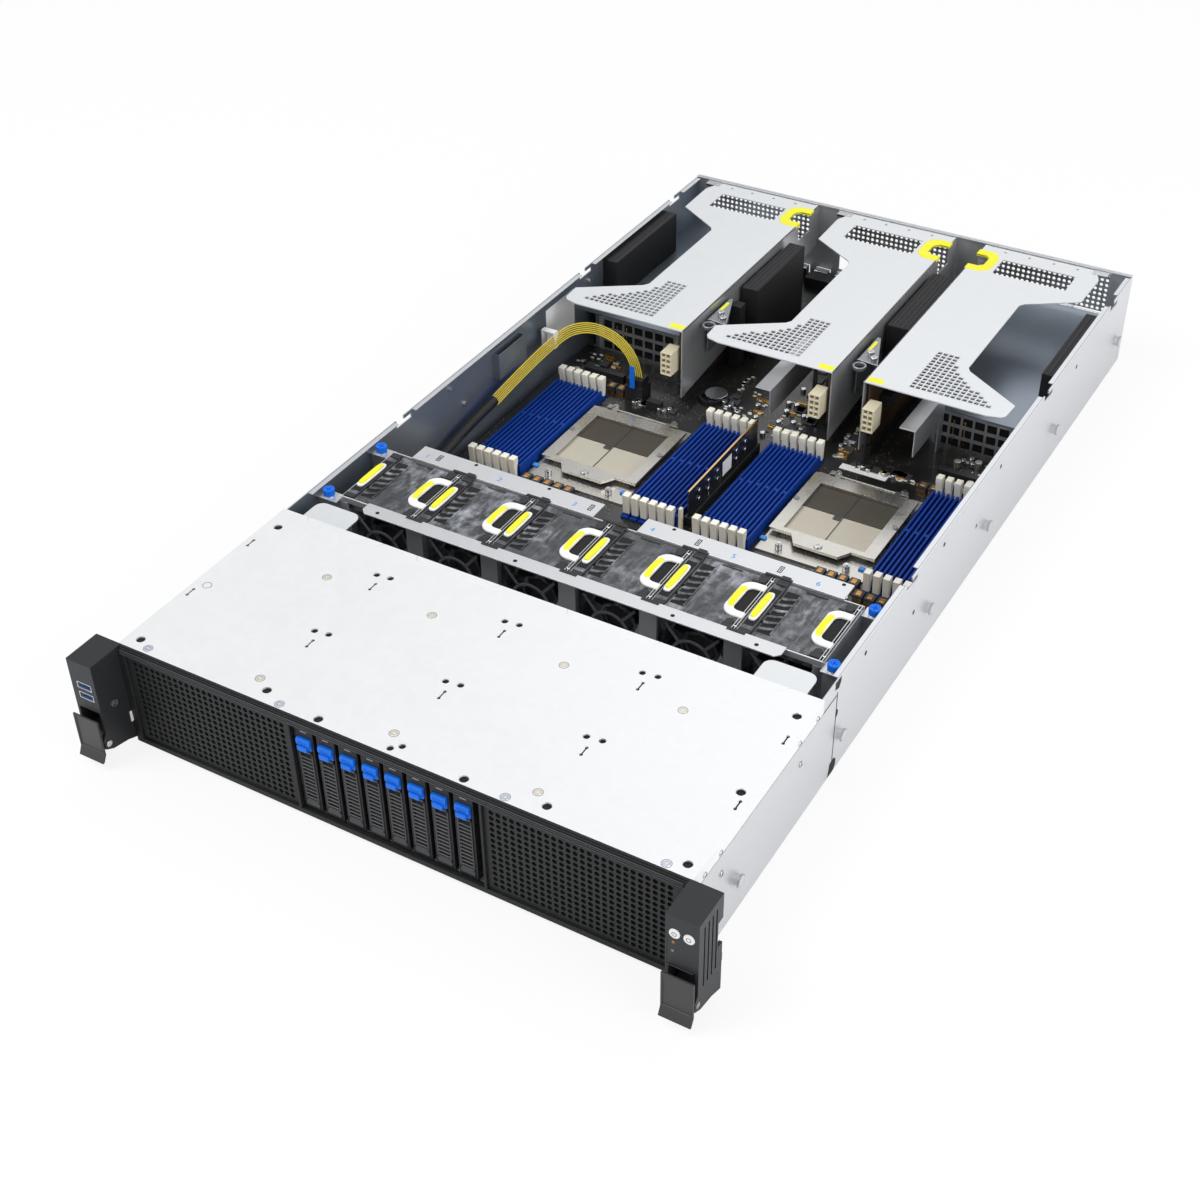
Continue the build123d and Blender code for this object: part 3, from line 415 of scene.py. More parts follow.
def wall_steel_painted_shade(name, colour, inside):
    """Zinc-coated sheet with painted shade: its inner faces are painted a darker bluish grey for the shade
    inside the tray.
    """
    steel = Finish(name, colour, 0.36, 0.75)
    x, y, z = [steel.node("ShaderNodeSeparateXYZ", {}, {0: steel.point()}, k) for k in range(3)]
    # Painted shade: the mask is 1 on the faces inside the tray.
    painted_shade_mask = (abs(x) < HALF - 0.7) * (y < FRONT_Y / MM + BACK - 1.2)
    painted_shade_mask = painted_shade_mask * (z > 1.3) * (z < TOP - 0.6)
    grain = steel.noise(0.9, 2, (1, 0.06, 1))
    mix = grain * 0.4 + steel.noise(0.012) * 0.6
    outer = steel.blend(mix, shade(colour, 0.95), shade(colour, 1.03))
    # The inner faces' colour, made from the darker colour given as inside, is painted shade.
    inner = steel.blend(mix, shade(inside, 0.85), shade(inside, 1.15))
    steel.set("Base Color", steel.blend(painted_shade_mask, outer, inner))
    steel.set("Roughness", mix * 0.16 + 0.28)
    steel.bump(grain, 0.006)


def moulded(name, colour, roughness=0.45, grit=3.0, coat=0.0, shine=0.4):
    """Moulded plastic: fine spark texture and slightly uneven gloss."""
    plastic = Finish(name, colour, roughness, 0.0, coat)
    plastic.set("Specular IOR Level", shine)
    fine = plastic.noise(grit, 2)
    cloud = plastic.noise(0.05, 2)
    plastic.tint(cloud, colour, 0.9, 1.12)
    plastic.set("Roughness", fine * 0.12 + cloud * 0.08 + (roughness - 0.1))
    plastic.bump(fine, 0.02)


def powder_coat(name, colour, roughness=0.48):
    """Black powder coat on steel: orange-peel bumps and a soft sheen."""
    powder = Finish(name, colour, roughness)
    powder.set("Specular IOR Level", 0.3)
    peel = powder.noise(1.6, 2)
    powder.tint(peel, colour, 0.85, 1.2)
    powder.set("Roughness", peel * 0.15 + (roughness - 0.07))
    powder.bump(peel, 0.04)


def smoky_plastic(name, dark, pale):
    """Dark plastic with pale smoky swirls and streaks in patches."""
    plastic = Finish(name, dark, 0.4)
    swirl = plastic.ramp(plastic.noise(0.11, 8, (1, 1, 0.4)), (0.44, 0), (0.68, 1))
    streak = plastic.ramp(plastic.noise(0.35, 5, (1, 0.3, 1)), (0.46, 0), (0.72, 1))
    patch = plastic.ramp(plastic.noise(0.03), (0.4, 0.2), (0.6, 1))
    mix = (swirl * 0.65 + streak * 0.5) * patch
    plastic.set("Base Color", plastic.blend(mix, dark, pale))
    plastic.set("Roughness", mix * 0.25 + 0.28)
    plastic.bump(plastic.noise(1.4, 2), 0.03)


def circuit_board(name, lacquer, track, solder):
    """Black board: lacquer, fine track lines, and specks of solder and print."""
    board = Finish(name, lacquer, 0.35, 0.0, 0.3)
    flat = board.point((1, 1, 0))
    bands = {"wave_type": "BANDS", "bands_direction": "DIAGONAL"}
    values = {"Vector": flat, "Scale": 0.45, "Distortion": 3.0, "Detail": 1.0, "Detail Scale": 0.2}
    tracks = board.ramp(board.node("ShaderNodeTexWave", bands, values, 1), (0.80, 0), (0.92, 1))
    tracks = tracks * board.ramp(board.noise(0.03, 2), (0.5, 0), (0.56, 1))
    cells = board.node("ShaderNodeTexVoronoi", {"feature": "F1"}, {"Vector": flat, "Scale": 0.42})
    dots = (cells < 0.16) * board.ramp(board.noise(0.06, 1), (0.5, 0), (0.55, 1))
    colour = board.blend(tracks * 0.7, lacquer, track)
    board.set("Base Color", board.blend(dots, colour, solder))
    board.set("Roughness", dots * 0.1 + 0.32)
    board.bump(tracks + dots, 0.03)


def shiny_metal(name, colour, roughness):
    """Plated metal with faint turning marks."""
    metal = Finish(name, colour, roughness, 1.0)
    marks = metal.noise(1.2)
    metal.tint(marks, colour, 0.8, 1.1)
    metal.set("Roughness", marks * 0.2 + (roughness - 0.08))
    metal.bump(marks, 0.01)


def contact_field(name, colour):
    """A field of tiny contacts: a fine grid of dots."""
    field = Finish(name, colour, 0.5, 0.3)
    values = {"Vector": field.point((1, 1, 0)), "Scale": 1.0, "Randomness": 0.0}
    pads = field.node("ShaderNodeTexVoronoi", {"feature": "F1"}, values)
    mask = field.ramp(pads, (0.25, 1), (0.4, 0))
    field.tint(mask, colour, 0.6, 1.35)
    field.bump(mask, 0.05)


def wire_skin(name, colour):
    """Soft plastic round a wire: cloudy colour, gloss and small dents."""
    skin = Finish(name, colour, 0.38)
    cloud = skin.noise(0.15, 2)
    skin.tint(cloud, colour, 0.82, 1.08)
    skin.set("Roughness", cloud * 0.15 + 0.3)
    skin.bump(skin.noise(2.2, 2), 0.02)


def glow(name, colour, strength):
    """A small coloured lens with a faint light inside."""
    lens = Finish(name, colour, 0.25, 0.0, 0.4)
    lens.tint(lens.noise(1.5, 1), colour, 0.8, 1.2)
    lens.set("Emission Color", (*colour, 1))
    lens.set("Emission Strength", strength)


def palette(look):
    """Each finish of the server by its plain name: how it is made, and of what."""
    board = (circuit_board, (0.010, 0.010, 0.009), (0.04, 0.036, 0.026), (0.42, 0.41, 0.36))
    return {
        "cover steel": (zinc_steel, look.steel, 0.42, 0.35),
        "tray steel": (zinc_steel, (0.66, 0.67, 0.68), 0.36, 0.75),
        # The third colour is painted shade for the walls' inner faces.
        "wall steel": (wall_steel_painted_shade, (0.66, 0.67, 0.68), (0.27, 0.31, 0.36)),
        # A darker copy of the steel: painted shade for upright webs and grids.
        "web steel": (zinc_steel, (0.60, 0.61, 0.62), 0.34, 0.75),
        "supply steel": (zinc_steel, (0.74, 0.75, 0.76), 0.4, 0.6),
        "riser steel": (zinc_steel, (0.70, 0.715, 0.725), 0.42, 0.4),
        "frame steel": (zinc_steel, (0.56, 0.54, 0.50), 0.28, 0.95),
        "dark steel": (zinc_steel, (0.30, 0.31, 0.33), 0.4, 0.8),
        "bezel black": (powder_coat, look.black),
        "grille black": (powder_coat, shade(look.black, 1.5)),
        "ear black": (moulded, (0.015, 0.016, 0.018), 0.45, 2.0),
        "flap grey": (moulded, (0.030, 0.030, 0.029), 0.4, 1.0, 0.1),
        "carrier black": (moulded, (0.010, 0.010, 0.011), 0.45, 3.0, 0.0, 0.3),
        "carrier grey": (moulded, (0.040, 0.041, 0.043), 0.4, 3.0),
        "slat grey": (moulded, (0.11, 0.112, 0.115), 0.4, 3.0),
        "guard grey": (moulded, (0.13, 0.135, 0.14), 0.45, 2.0),
        "block black": (moulded, (0.014, 0.014, 0.015), 0.55, 1.2, 0.0, 0.3),
        "fan grey": (smoky_plastic, (0.032, 0.034, 0.038), (0.36, 0.38, 0.41)),
        "fan black": (moulded, (0.016, 0.016, 0.018), 0.4, 2.0),
        "rotor grey": (moulded, (0.03, 0.03, 0.034), 0.38, 2.0),
        "tab blue": (moulded, look.tab_blue, 0.45, 2.0, 0.0, 0.3),
        "tongue blue": (moulded, (0.05, 0.27, 0.72), 0.45, 2.0),
        "cross blue": (moulded, (0.10, 0.16, 0.24), 0.4, 2.0),
        "socket blue": (moulded, look.socket_blue, 0.5, 2.0, 0.0, 0.2),
        "ivory": (moulded, (0.90, 0.86, 0.74), 0.42, 2.0),
        "cream": (moulded, (0.74, 0.67, 0.48), 0.45, 2.0),
        "white": (moulded, (0.8, 0.8, 0.79), 0.4, 2.0),
        "yellow": (moulded, look.yellow, 0.5, 2.0),
        "wire yellow": (wire_skin, (0.76, 0.60, 0.06)),
        "sleeve black": (wire_skin, (0.012, 0.012, 0.012)),
        "board": board,
        "card dark": board,
        "card brown": (moulded, (0.055, 0.03, 0.014), 0.5, 3.0),
        "gold": (shiny_metal, (0.85, 0.55, 0.18), 0.25),
        "copper": (shiny_metal, (0.62, 0.32, 0.10), 0.4),
        "nickel": (shiny_metal, (0.58, 0.59, 0.60), 0.24),
        "screw blue": (shiny_metal, (0.56, 0.62, 0.70), 0.34),
        "plug metal": (shiny_metal, (0.80, 0.80, 0.79), 0.32),
        "zinc yellow": (shiny_metal, (0.78, 0.73, 0.58), 0.4),
        # Near-black painted shade, put where holes, slots and recesses show only shade.
        "dark hole": (moulded, (0.006, 0.006, 0.006), 0.7, 2.0),
        # Beige made paler to paint the glare on the contacts.
        "socket beige": (contact_field, (0.66, 0.61, 0.50)),
        "socket brown": (contact_field, (0.085, 0.072, 0.055)),
        "chip grey": (moulded, (0.045, 0.045, 0.05), 0.4, 2.0),
        "label white": (moulded, (0.78, 0.78, 0.76), 0.5, 1.0),
        "print blue": (moulded, (0.03, 0.24, 0.66), 0.5, 2.0),
        "lens amber": (glow, (0.22, 0.10, 0.01), 0.02),
        "lens green": (glow, (0.10, 0.13, 0.07), 0.0),
        "lens clear": (moulded, (0.32, 0.33, 0.34), 0.2, 2.0),
    }


def make_finishes(look):
    """Makes every finish of the server."""
    for name, (maker, *values) in palette(look).items():
        maker(name, *values)


# ---------------------------------------------------------------- from the CAD, and patterns

def coat(node, name, width=0):
    """Keeps a CAD node as it is and gives it a finish, and a soft edge where a width is given."""
    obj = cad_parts[node]
    for slot in obj.material_slots:
        slot.material = FINISHES[name]
    if width:
        weld = obj.modifiers.new("weld", "WELD")
        weld.merge_threshold = 1e-6
        edging(obj, width)


def dress(node, rule, body="chassis"):
    """Replaces a CAD node by softened copies of its solids, grouped by their finish."""
    groups = {}
    for solid in cad_copy(node):
        low, high = span(solid)
        name, width = rule(low, high)
        if name is None:
            discard(solid)
            continue
        if width:
            soften(solid, width)
        groups.setdefault(name, []).append(solid)
    for name, solids in groups.items():
        seat(solids, f"{node}_{file_name(name)}", name, body=body, stands_for=(node,))


def screw(axis, u, v, low, high, radius):
    """A screw head with a cross recess in the face at its high end."""
    way = 1 if high > low else -1
    head = soften(rod(axis, u, v, low, high, radius, 20), 0.2, 1)
    long, thin = 0.6 * radius, 0.14 * radius
    arms = [(long, thin), (thin, long)]
    slots = [plate(axis, (u - a, u + a), (v - b, v + b), high - way * 0.45, high + way) for a, b in arms]
    return cut(head, *slots)


def perforated(axis, u, v, low, high, count, hole, sides=8, turn=0.0):
    """A sheet of holes: one cell is shaped, repeated both ways and given its thickness."""
    pitch = ((u[1] - u[0]) / count[0], (v[1] - v[0]) / count[1])
    middle = (u[0] + pitch[0] / 2, v[0] + pitch[1] / 2)
    bpy.ops.object.select_all(action="DESELECT")
    bpy.ops.mesh.primitive_circle_add(vertices=sides, fill_type="NOTHING")
    obj = bpy.context.object
    bpy.ops.object.mode_set(mode="EDIT")
    bpy.ops.mesh.select_all(action="SELECT")
    bpy.ops.mesh.extrude_region_move()
    bpy.ops.object.mode_set(mode="OBJECT")
    for k, vertex in enumerate(obj.data.vertices):
        angle = turn + 2 * math.pi * (k % sides) / sides
        one, two = math.cos(angle), math.sin(angle)
        if k < sides:
            one, two = one * hole[0], two * hole[1]
        else:
            reach = max(abs(one), abs(two))
            one, two = one / reach * pitch[0] / 2, two / reach * pitch[1] / 2
        vertex.co = place(axis, middle[0] + one, middle[1] + two, low)
    for times, step in zip(count, ((pitch[0], 0), (0, pitch[1]))):
        array = obj.modifiers.new("repeat", "ARRAY")
        array.count = times
        array.use_relative_offset = False
        array.use_constant_offset = True
        array.constant_offset_displace = place(axis, *step, 0) - place(axis, 0, 0, 0)
        array.use_merge_vertices = True
        array.merge_threshold = 1e-5
    return thicken(apply_all(obj), axis, low, high)


def number(words, x, y, z, size):
    """A flat printed number that is read from the front."""
    bpy.ops.object.select_all(action="DESELECT")
    bpy.ops.object.text_add(location=spot(x, y, z))
    obj = bpy.context.object
    obj.data.body = words
    obj.data.size = size * MM
    obj.data.extrude = 0.04 * MM
    obj.data.align_x = "CENTER"
    bpy.ops.object.convert(target="MESH")
    return settle(bpy.context.object)


def route(points, name):
    """A smooth curve through the neighbourhood of a route's points."""
    data = bpy.data.curves.new(name, "CURVE")
    data.dimensions = "3D"
    spline = data.splines.new("NURBS")
    spline.points.add(len(points) - 1)
    for point, where in zip(spline.points, points):
        point.co = (*spot(*where), 1)
    spline.order_u = 3
    spline.use_endpoint_u = True
    obj = bpy.data.objects.new(name, data)
    bpy.context.collection.objects.link(obj)
    return obj


def bundle(points, name, radius, offsets):
    """Round wires that follow a route side by side, each at its own offset."""
    line = route(points, name)
    profile = bpy.data.curves.new(name + "_profile", "CURVE")
    profile.dimensions = "2D"
    for across, up in offsets:
        rim = profile.splines.new("POLY")
        rim.points.add(7)
        for k, point in enumerate(rim.points):
            angle = math.pi * k / 4
            x, y = across + radius * math.cos(angle), up + radius * math.sin(angle)
            point.co = (x * MM, y * MM, 0, 1)
        rim.use_cyclic_u = True
    shape = bpy.data.objects.new(name + "_profile", profile)
    bpy.context.collection.objects.link(shape)
    line.data.bevel_mode = "OBJECT"
    line.data.bevel_object = shape
    line.data.use_fill_caps = True
    alone(line)
    bpy.ops.object.convert(target="MESH")
    made = bpy.context.object
    discard(shape)
    return made


# ---------------------------------------------------------------- what a user may change

class ServerSizes(bpy.types.PropertyGroup):
    """Sizes and counts of the fine pieces."""
    grille_hole: bpy.props.FloatProperty(
        name="Grille hole", description="Diameter of the bezel's air holes",
        default=3.9 * MM, min=1 * MM, max=4.5 * MM, unit="LENGTH", precision=4)
    wire: bpy.props.FloatProperty(
        name="Wire", description="Diameter of one wire of the power cable",
        default=1.45 * MM, min=1 * MM, max=2.5 * MM, unit="LENGTH", precision=4)
    louvres: bpy.props.IntProperty(
        name="Louvres", description="Slats in each drive carrier", default=12, min=4, max=24)
    small_parts: bpy.props.IntProperty(
        name="Small parts", description="Soldered parts in each free zone of the board",
        default=64, min=0, max=200)
    fins: bpy.props.IntProperty(
        name="Cap fins", description="Fins in the channel of each fan's cap", default=6, min=2, max=10)


class ServerLook(bpy.types.PropertyGroup):
    """Main colours."""
    steel: bpy.props.FloatVectorProperty(
        name="Steel", description="Zinc-coated cover sheet",
        subtype="COLOR", default=(0.80, 0.805, 0.805))
    black: bpy.props.FloatVectorProperty(
        name="Bezel", description="Powder coat of the front",
        subtype="COLOR", default=(0.0105, 0.011, 0.0115))
    tab_blue: bpy.props.FloatVectorProperty(
        name="Tabs", description="Release tabs and thumb screws",
        subtype="COLOR", default=(0.004, 0.15, 0.70))
    socket_blue: bpy.props.FloatVectorProperty(
        name="Memory sockets", description="Plastic of the sockets",
        subtype="COLOR", default=(0.003, 0.04, 0.27))
    yellow: bpy.props.FloatVectorProperty(
        name="Finger pads", description="Yellow touch points",
        subtype="COLOR", default=(0.82, 0.80, 0.02))


# ---------------------------------------------------------------- pieces

class SERVER_OT_stage(bpy.types.Operator):
    """Pale floor, white surroundings, soft lamps and the camera"""
    bl_idname = "server.stage"
    bl_label = "Stage"

    def execute(self, context):
        scene = context.scene
        scene.view_settings.view_transform = "Standard"
        self.surroundings(scene)
        self.floor()
        self.lamps()
        self.camera(scene)
        return {"FINISHED"}

    def surroundings(self, scene):
        """A soft dim world for the light, and a white one behind everything."""
        world = bpy.data.worlds.new("surroundings")
        world.use_nodes = True
        scene.world = world
        tree = world.node_tree
        dim = tree.nodes["Background"]
        dim.inputs["Color"].default_value = (0.96, 0.97, 1.0, 1)
        dim.inputs["Strength"].default_value = 0.68
        white = tree.nodes.new("ShaderNodeBackground")
        white.inputs["Color"].default_value = (1, 1, 1, 1)
        path = tree.nodes.new("ShaderNodeLightPath")
        mix = tree.nodes.new("ShaderNodeMixShader")
        tree.links.new(path.outputs["Is Camera Ray"], mix.inputs[0])
        tree.links.new(dim.outputs[0], mix.inputs[1])
        tree.links.new(white.outputs[0], mix.inputs[2])
        tree.links.new(mix.outputs[0], tree.nodes["World Output"].inputs["Surface"])

    def floor(self):
        """A matt floor that takes shadows and melts into the white behind it."""
        bpy.ops.object.select_all(action="DESELECT")
        bpy.ops.mesh.primitive_plane_add(size=24, location=(0, 0, -0.0005))
        ground = settle(bpy.context.object)
        ground.name = "floor"
        surface = Finish("floor white", (0.86, 0.86, 0.86), 0.9)
        cloud = surface.noise(0.002, 1)
        surface.set("Base Color", surface.blend(cloud, (0.85, 0.85, 0.85), (0.87, 0.87, 0.87)))
        path = surface.node("ShaderNodeLightPath", {}, {})
        seen = Socket(surface, path.link.node.outputs["Is Camera Ray"]) * 0.85
        light = surface.node("ShaderNodeEmission", {}, {"Color": (1, 1, 1, 1), "Strength": 1.0})
        values = {0: seen, 1: Socket(surface, surface.shader.outputs[0]), 2: light}
        mix = surface.node("ShaderNodeMixShader", {}, values)
        out = surface.tree.nodes["Material Output"]
        surface.tree.links.new(mix.link, out.inputs["Surface"])
        ground.data.materials.append(surface.material)

    def lamps(self):
        """Three large round lamps that point at the middle."""
        lamps = (("key", (-1.2, -1.4, 2.6), 1.8, 43), ("fill", (2.6, -0.6, 1.1), 2.2, 44),
                 ("rear", (-0.4, 2.4, 2.4), 2.4, 12))
        for name, where, size, watts in lamps:
            data = bpy.data.lights.new(name, "AREA")
            data.shape = "DISK"
            data.size = size
            data.energy = watts
            lamp = bpy.data.objects.new(name, data)
            lamp.location = where
            lamp.rotation_euler = (-Vector(where)).to_track_quat("-Z", "Y").to_euler()
            bpy.context.collection.objects.link(lamp)

    def camera(self, scene):
        """A camera in front, to the right and above, turned by three angles."""
        turn, lift, roll = math.radians(30.98), math.radians(38.13), math.radians(-1.05)
        back = Vector((math.sin(turn) * math.cos(lift), -math.cos(turn) * math.cos(lift), math.sin(lift)))
        level = Vector((0, 0, 1)).cross(back).normalized()
        upright = back.cross(level)
        right = level * math.cos(roll) + upright * math.sin(roll)
        above = upright * math.cos(roll) - level * math.sin(roll)
        data = bpy.data.cameras.new("camera")
        data.sensor_width = 36
        data.lens = 53.70
        camera = bpy.data.objects.new("camera", data)
        bpy.context.collection.objects.link(camera)
        basis = Matrix((right, above, back)).transposed().to_4x4()
        camera.matrix_world = Matrix.Translation((0.5428, -1.0484, 0.8530)) @ basis
        scene.camera = camera


class SERVER_OT_tray(bpy.types.Operator):
    """Steel tray: walls with folded edges, rail studs, seams and screws"""
    bl_idname = "server.tray"
    bl_label = "Tray"

    def execute(self, context):
        # The walls' inner faces get painted shade.
        coat("chassis", "wall steel")
        self.outer_heads()
        self.inner_marks()
        self.folded_edges()
        self.wall_slot_shade()
        self.rear_ports()
        rail = block((-HALF + 1.2, HALF - 1.2), (BACK - 4.2, BACK - 1.3), (TOP - 1.0, TOP))
        seat(rail, "rear_rail", "riser steel", soft=0.25)
        return {"FINISHED"}

    def outer_heads(self):
        """The hollow rail studs and the screws in the side walls."""
        heads = []
        for side in SIDES:
            for y in (59, 212, 369, 488, BACK - 192, BACK - 24):
                heads.append(ring("X", y, 33, side * 222.2, side * 223.4, 4.9, 2.0))
            for y, z in ((39, 56), (150, 55)):
                heads.append(screw("X", y, z, side * 219.0, side * 219.7, 2.4))
            for y in (14.7, 35, 144.2, 171.2):
                heads.append(screw("X", y, 78, side * 219.6, side * 220.7, 2.2))
        seat(heads, "rail_studs_and_screws", "nickel")

    def folded_edges(self):
        """The turned-in lip along each wall's top, broken where the top cover hooks in."""
        spans = ((206, 318), (342, 603), (627, 773), (797, BACK - 6))
        lips = [block((side * (HALF - 5), side * (HALF - 1.0)), stretch, (TOP - 2.0, TOP - 1.1))
                for side in SIDES for stretch in spans]
        seat(lips, "wall_lips", "tray steel", soft=0.3)

    def inner_marks(self):
        """Small studs inside the walls and a bare pale label on the left one."""
        places = ((394.8, 76.8), (413.5, 52.7), (300, 70), (620, 72), (700, 60))
        studs = [rod("X", y, z, side * (HALF - 3.2), side * (HALF - 1.0), 2.2, 16)
                 for side in SIDES for y, z in places]
        seat(studs, "inner_studs", "plug metal", soft=0.4)
        label = plate("X", (546, 594), (38, 76), -HALF + 1.02, -HALF + 1.4)
        seat(label, "inner_label", "label white", soft=0.1, steps=1)

    def wall_slot_shade(self):
        """Dark cut-outs and joints in the side walls, and the seam behind the front cover: dark prisms,
        painted shade for the cut-outs and the seam's shadow line.
        """
        outlines = (
            [(204.0, 12), (204.9, 12), (204.9, 52), (207.5, 54), (207.5, 58), (204.9, 60), (204.9, 75),
             (204.0, 75)],
            [(199, 2), (208, 2), (211, 5), (211, 11), (207, 14), (201, 13)],
            [(200, 80), (206, 78), (209, 82), (209, 86.4), (200, 86.4)],
            [(0, 72.8), (204, 72.8), (204, 73.7), (0, 73.7)],
            [(463, 45), (467, 45), (465, 48.5)])
        slots = []
        for side in SIDES:
            depth = side * (HALF + 0.02), side * (HALF + 0.12)
            slots += [prism(outline, "X", *depth) for outline in outlines]
            for y, z in ((508, 75.8), (391.6, 75.8), (340, 48.4), (250, 75.8), (690, 70)):
                slots.append(rod("X", y, z, *depth, 1.9, 16))
        seat(slots, "wall_slot_shade", "dark hole")

    def rear_ports(self):
        """Sockets behind the openings of the rear wall."""
        shells, tongues = [], []
        for x0, x1 in ((-108, -93), (-86, -71), (-64, -48), (-40, -24), (68, 108)):
            shell = plate("Y", (x0 + 0.6, x1 - 0.6), (11.2, 19.6), BACK - 9, BACK - 1)
            mouth = plate("Y", (x0 + 1.4, x1 - 1.4), (12.0, 18.8), BACK - 7, BACK + 1)
            shells.append(cut(shell, mouth))
            tongues.append(plate("Y", (x0 + 2.6, x1 - 2.6), (14.6, 16.2), BACK - 8, BACK - 2))
        seat(shells, "port_shells", "nickel", soft=0.15, steps=1)
        seat(tongues, "port_tongues", "fan black", soft=0.15, steps=1)


class SERVER_OT_cover(bpy.types.Operator):
    """Front cover: folded sheet with screw places, slots and shelf tabs"""
    bl_idname = "server.cover"
    bl_label = "Front cover"

    UPPER = COVER_HIGH.z - 0.2
    LENGTH = 180.0
    PAIRS = ((-106.2, 147.8), (1.2, 148.1), (109.6, 147.0), (-106.2, 76.0), (1.3, 76.2), (109.2, 75.6))
    LARGE_HOLES = ((-209, 10), (-101, 10.7), (-54.4, 4.6), (-209, 158.7), (57.8, 4.6), (114.7, 9.7),
                   (211.3, 9.5), (211.2, 78.1), (211.1, 157.4))
    SILVER = ((-198.3, 5.3), (-85.4, 3.9), (88.4, 3.9), (200.2, 3.9))
    ZINC = ((-112.6, 18), (-4.2, 17.6), (103.6, 17.3), (-140.8, 127.7), (-51.4, 128.6), (55.2, 127.6),
            (145, 126.8))

    def execute(self, context):
        half = HALF + 1.0
        sheet = plate("Z", (-half, half), (0, self.LENGTH), self.UPPER - 1, self.UPPER)
        flanges = [block((side * HALF, side * half), (0, self.LENGTH), (self.UPPER - 11.8, self.UPPER))
                   for side in SIDES]
        sheet = soften(cut(join([sheet] + flanges), *self.openings()), 0.35, 2, 60)
        seat(sheet, "front_cover_sheet", "cover steel", stands_for=("front_cover",))
        shelves = [self.shelf(side) for side in SIDES]
        seat(shelves, "cover_shelves", "riser steel", soft=0.4, stands_for=("front_cover",))
        self.fasteners()
        self.painted_shade_under_holes()
        self.outlines()
        return {"FINISHED"}

    def shelf(self, side):
        """A lower plate that reaches out from under the cover's rear corner, with rounded corners."""
        near, far, back, bend = 167, 206, 204.5, 7
        outline = [(side * near, 170), (side * far, 170)]
        for x, start in ((far - bend, 0), (near + bend, 90)):
            for step in range(5):
                angle = math.radians(start + 22.5 * step)
                across, along = bend * math.cos(angle), bend * math.sin(angle)
                outline.append((side * (x + across), back - bend + along))
        return prism(outline, "Z", self.UPPER - 4.6, self.UPPER - 3.4)

    def holes(self):
        """Round holes, large and small, as (x, y, radius)."""
        large, small = 3.1, 2.3
        spots = [(x, y, large) for x, y in self.LARGE_HOLES]
        for x, y in self.PAIRS:
            spots += [(x - 5.4, y - 0.6, small), (x + 5.5, y + 0.8, small)]
        return spots + [(1.8, 5.0, small), (7.5, 10.1, small)]

    def slots(self):
        """Dog-bone slots as (x, y)."""
        return [(x, y - 13) for x, y in self.PAIRS] + [(x, y) for y in (133.7, 67.3) for x in (-214.5, 214.5)]

    def openings(self):
        """The cutters of the holes and slots."""
        depth = self.UPPER - 3, self.UPPER + 3
        cutters = [rod("Z", x, y, *depth, radius, 20) for x, y, radius in self.holes()]
        for x, y in self.slots():
            cutters.append(plate("Z", (x - 0.6, x + 0.6), (y - 3.4, y + 3.4), *depth))
            cutters += [rod("Z", x, y + dy, *depth, 1.25, 12) for dy in (-3.6, 3.6)]
        return cutters

    def fasteners(self):
        """Cross screws, silver at the front and yellow zinc behind, dark rings of painted shade round them,
        and the holes' rims.
        """
        top = self.UPPER
        for name, spots in (("screw blue", self.SILVER), ("zinc yellow", self.ZINC)):
            heads = copies(screw("Z", 0, 0, top - 0.6, top + 0.2, 2.6), [(x, y, 0) for x, y in spots])
            seat(heads, f"cover_screws_{file_name(name)}", name)
        spots = self.SILVER + self.ZINC
        arms = [plate("Z", (-u, u), (-v, v), top - 0.3, top - 0.1) for u, v in ((1.6, 0.35), (0.35, 1.6))]
        crosses = copies(join(arms), [(x, y, 0) for x, y in spots])
        seat(crosses, "cover_screw_crosses", "cross blue")
        # Painted shade: a dark ring round each screw head.
        shade_rings = [ring("Z", x, y, top - 0.2, top + 0.05, 3.5, 3.0) for x, y in (*spots, (-209, 78.9))]
        seat(shade_rings, "cover_screw_painted_shade", "dark steel")
        rims = [ring("Z", x, y, top - 0.2, top + 0.1, radius + 0.4, radius, 20)
                for x, y, radius in self.holes()]
        seat(rims, "cover_hole_rims", "plug metal", soft=0.08, steps=1)

    def painted_shade_under_holes(self):
        """Painted shade: dark cups under each hole and slot stand for the dark inside seen through them."""
        depth = self.UPPER - 2.4, self.UPPER - 1.4
        shade_cups = [rod("Z", x, y, *depth, radius + 1.6, 16) for x, y, radius in self.holes()]
        shade_cups += [plate("Z", (x - 2.5, x + 2.5), (y - 6, y + 6), *depth) for x, y in self.slots()]
        seat(shade_cups, "cover_holes_painted_shade", "dark hole", soft=0.2, steps=1)

    def outlines(self):
        """The faint raised borders along the rear edge."""
        ribs = []
        for x0, x1 in ((-198, -128), (-100, -28), (26, 100), (128, 196)):
            steps = ((0, 0), (2, -4), (5, -6))
            outer = [(x0 + u, self.LENGTH + v) for u, v in steps]
            outer += [(x1 - u, self.LENGTH + v) for u, v in reversed(steps)]
            inner = [(u + (0.3 if u < (x0 + x1) / 2 else -0.3), v + (0.3 if v < self.LENGTH else 2))
                     for u, v in outer]
            rib = prism(outer, "Z", self.UPPER - 0.3, self.UPPER + 0.06)
            ribs.append(cut(rib, prism(inner, "Z", self.UPPER - 1, self.UPPER + 1)))
        seat(ribs, "cover_raised_borders", "tray steel", soft=0.12, steps=1)


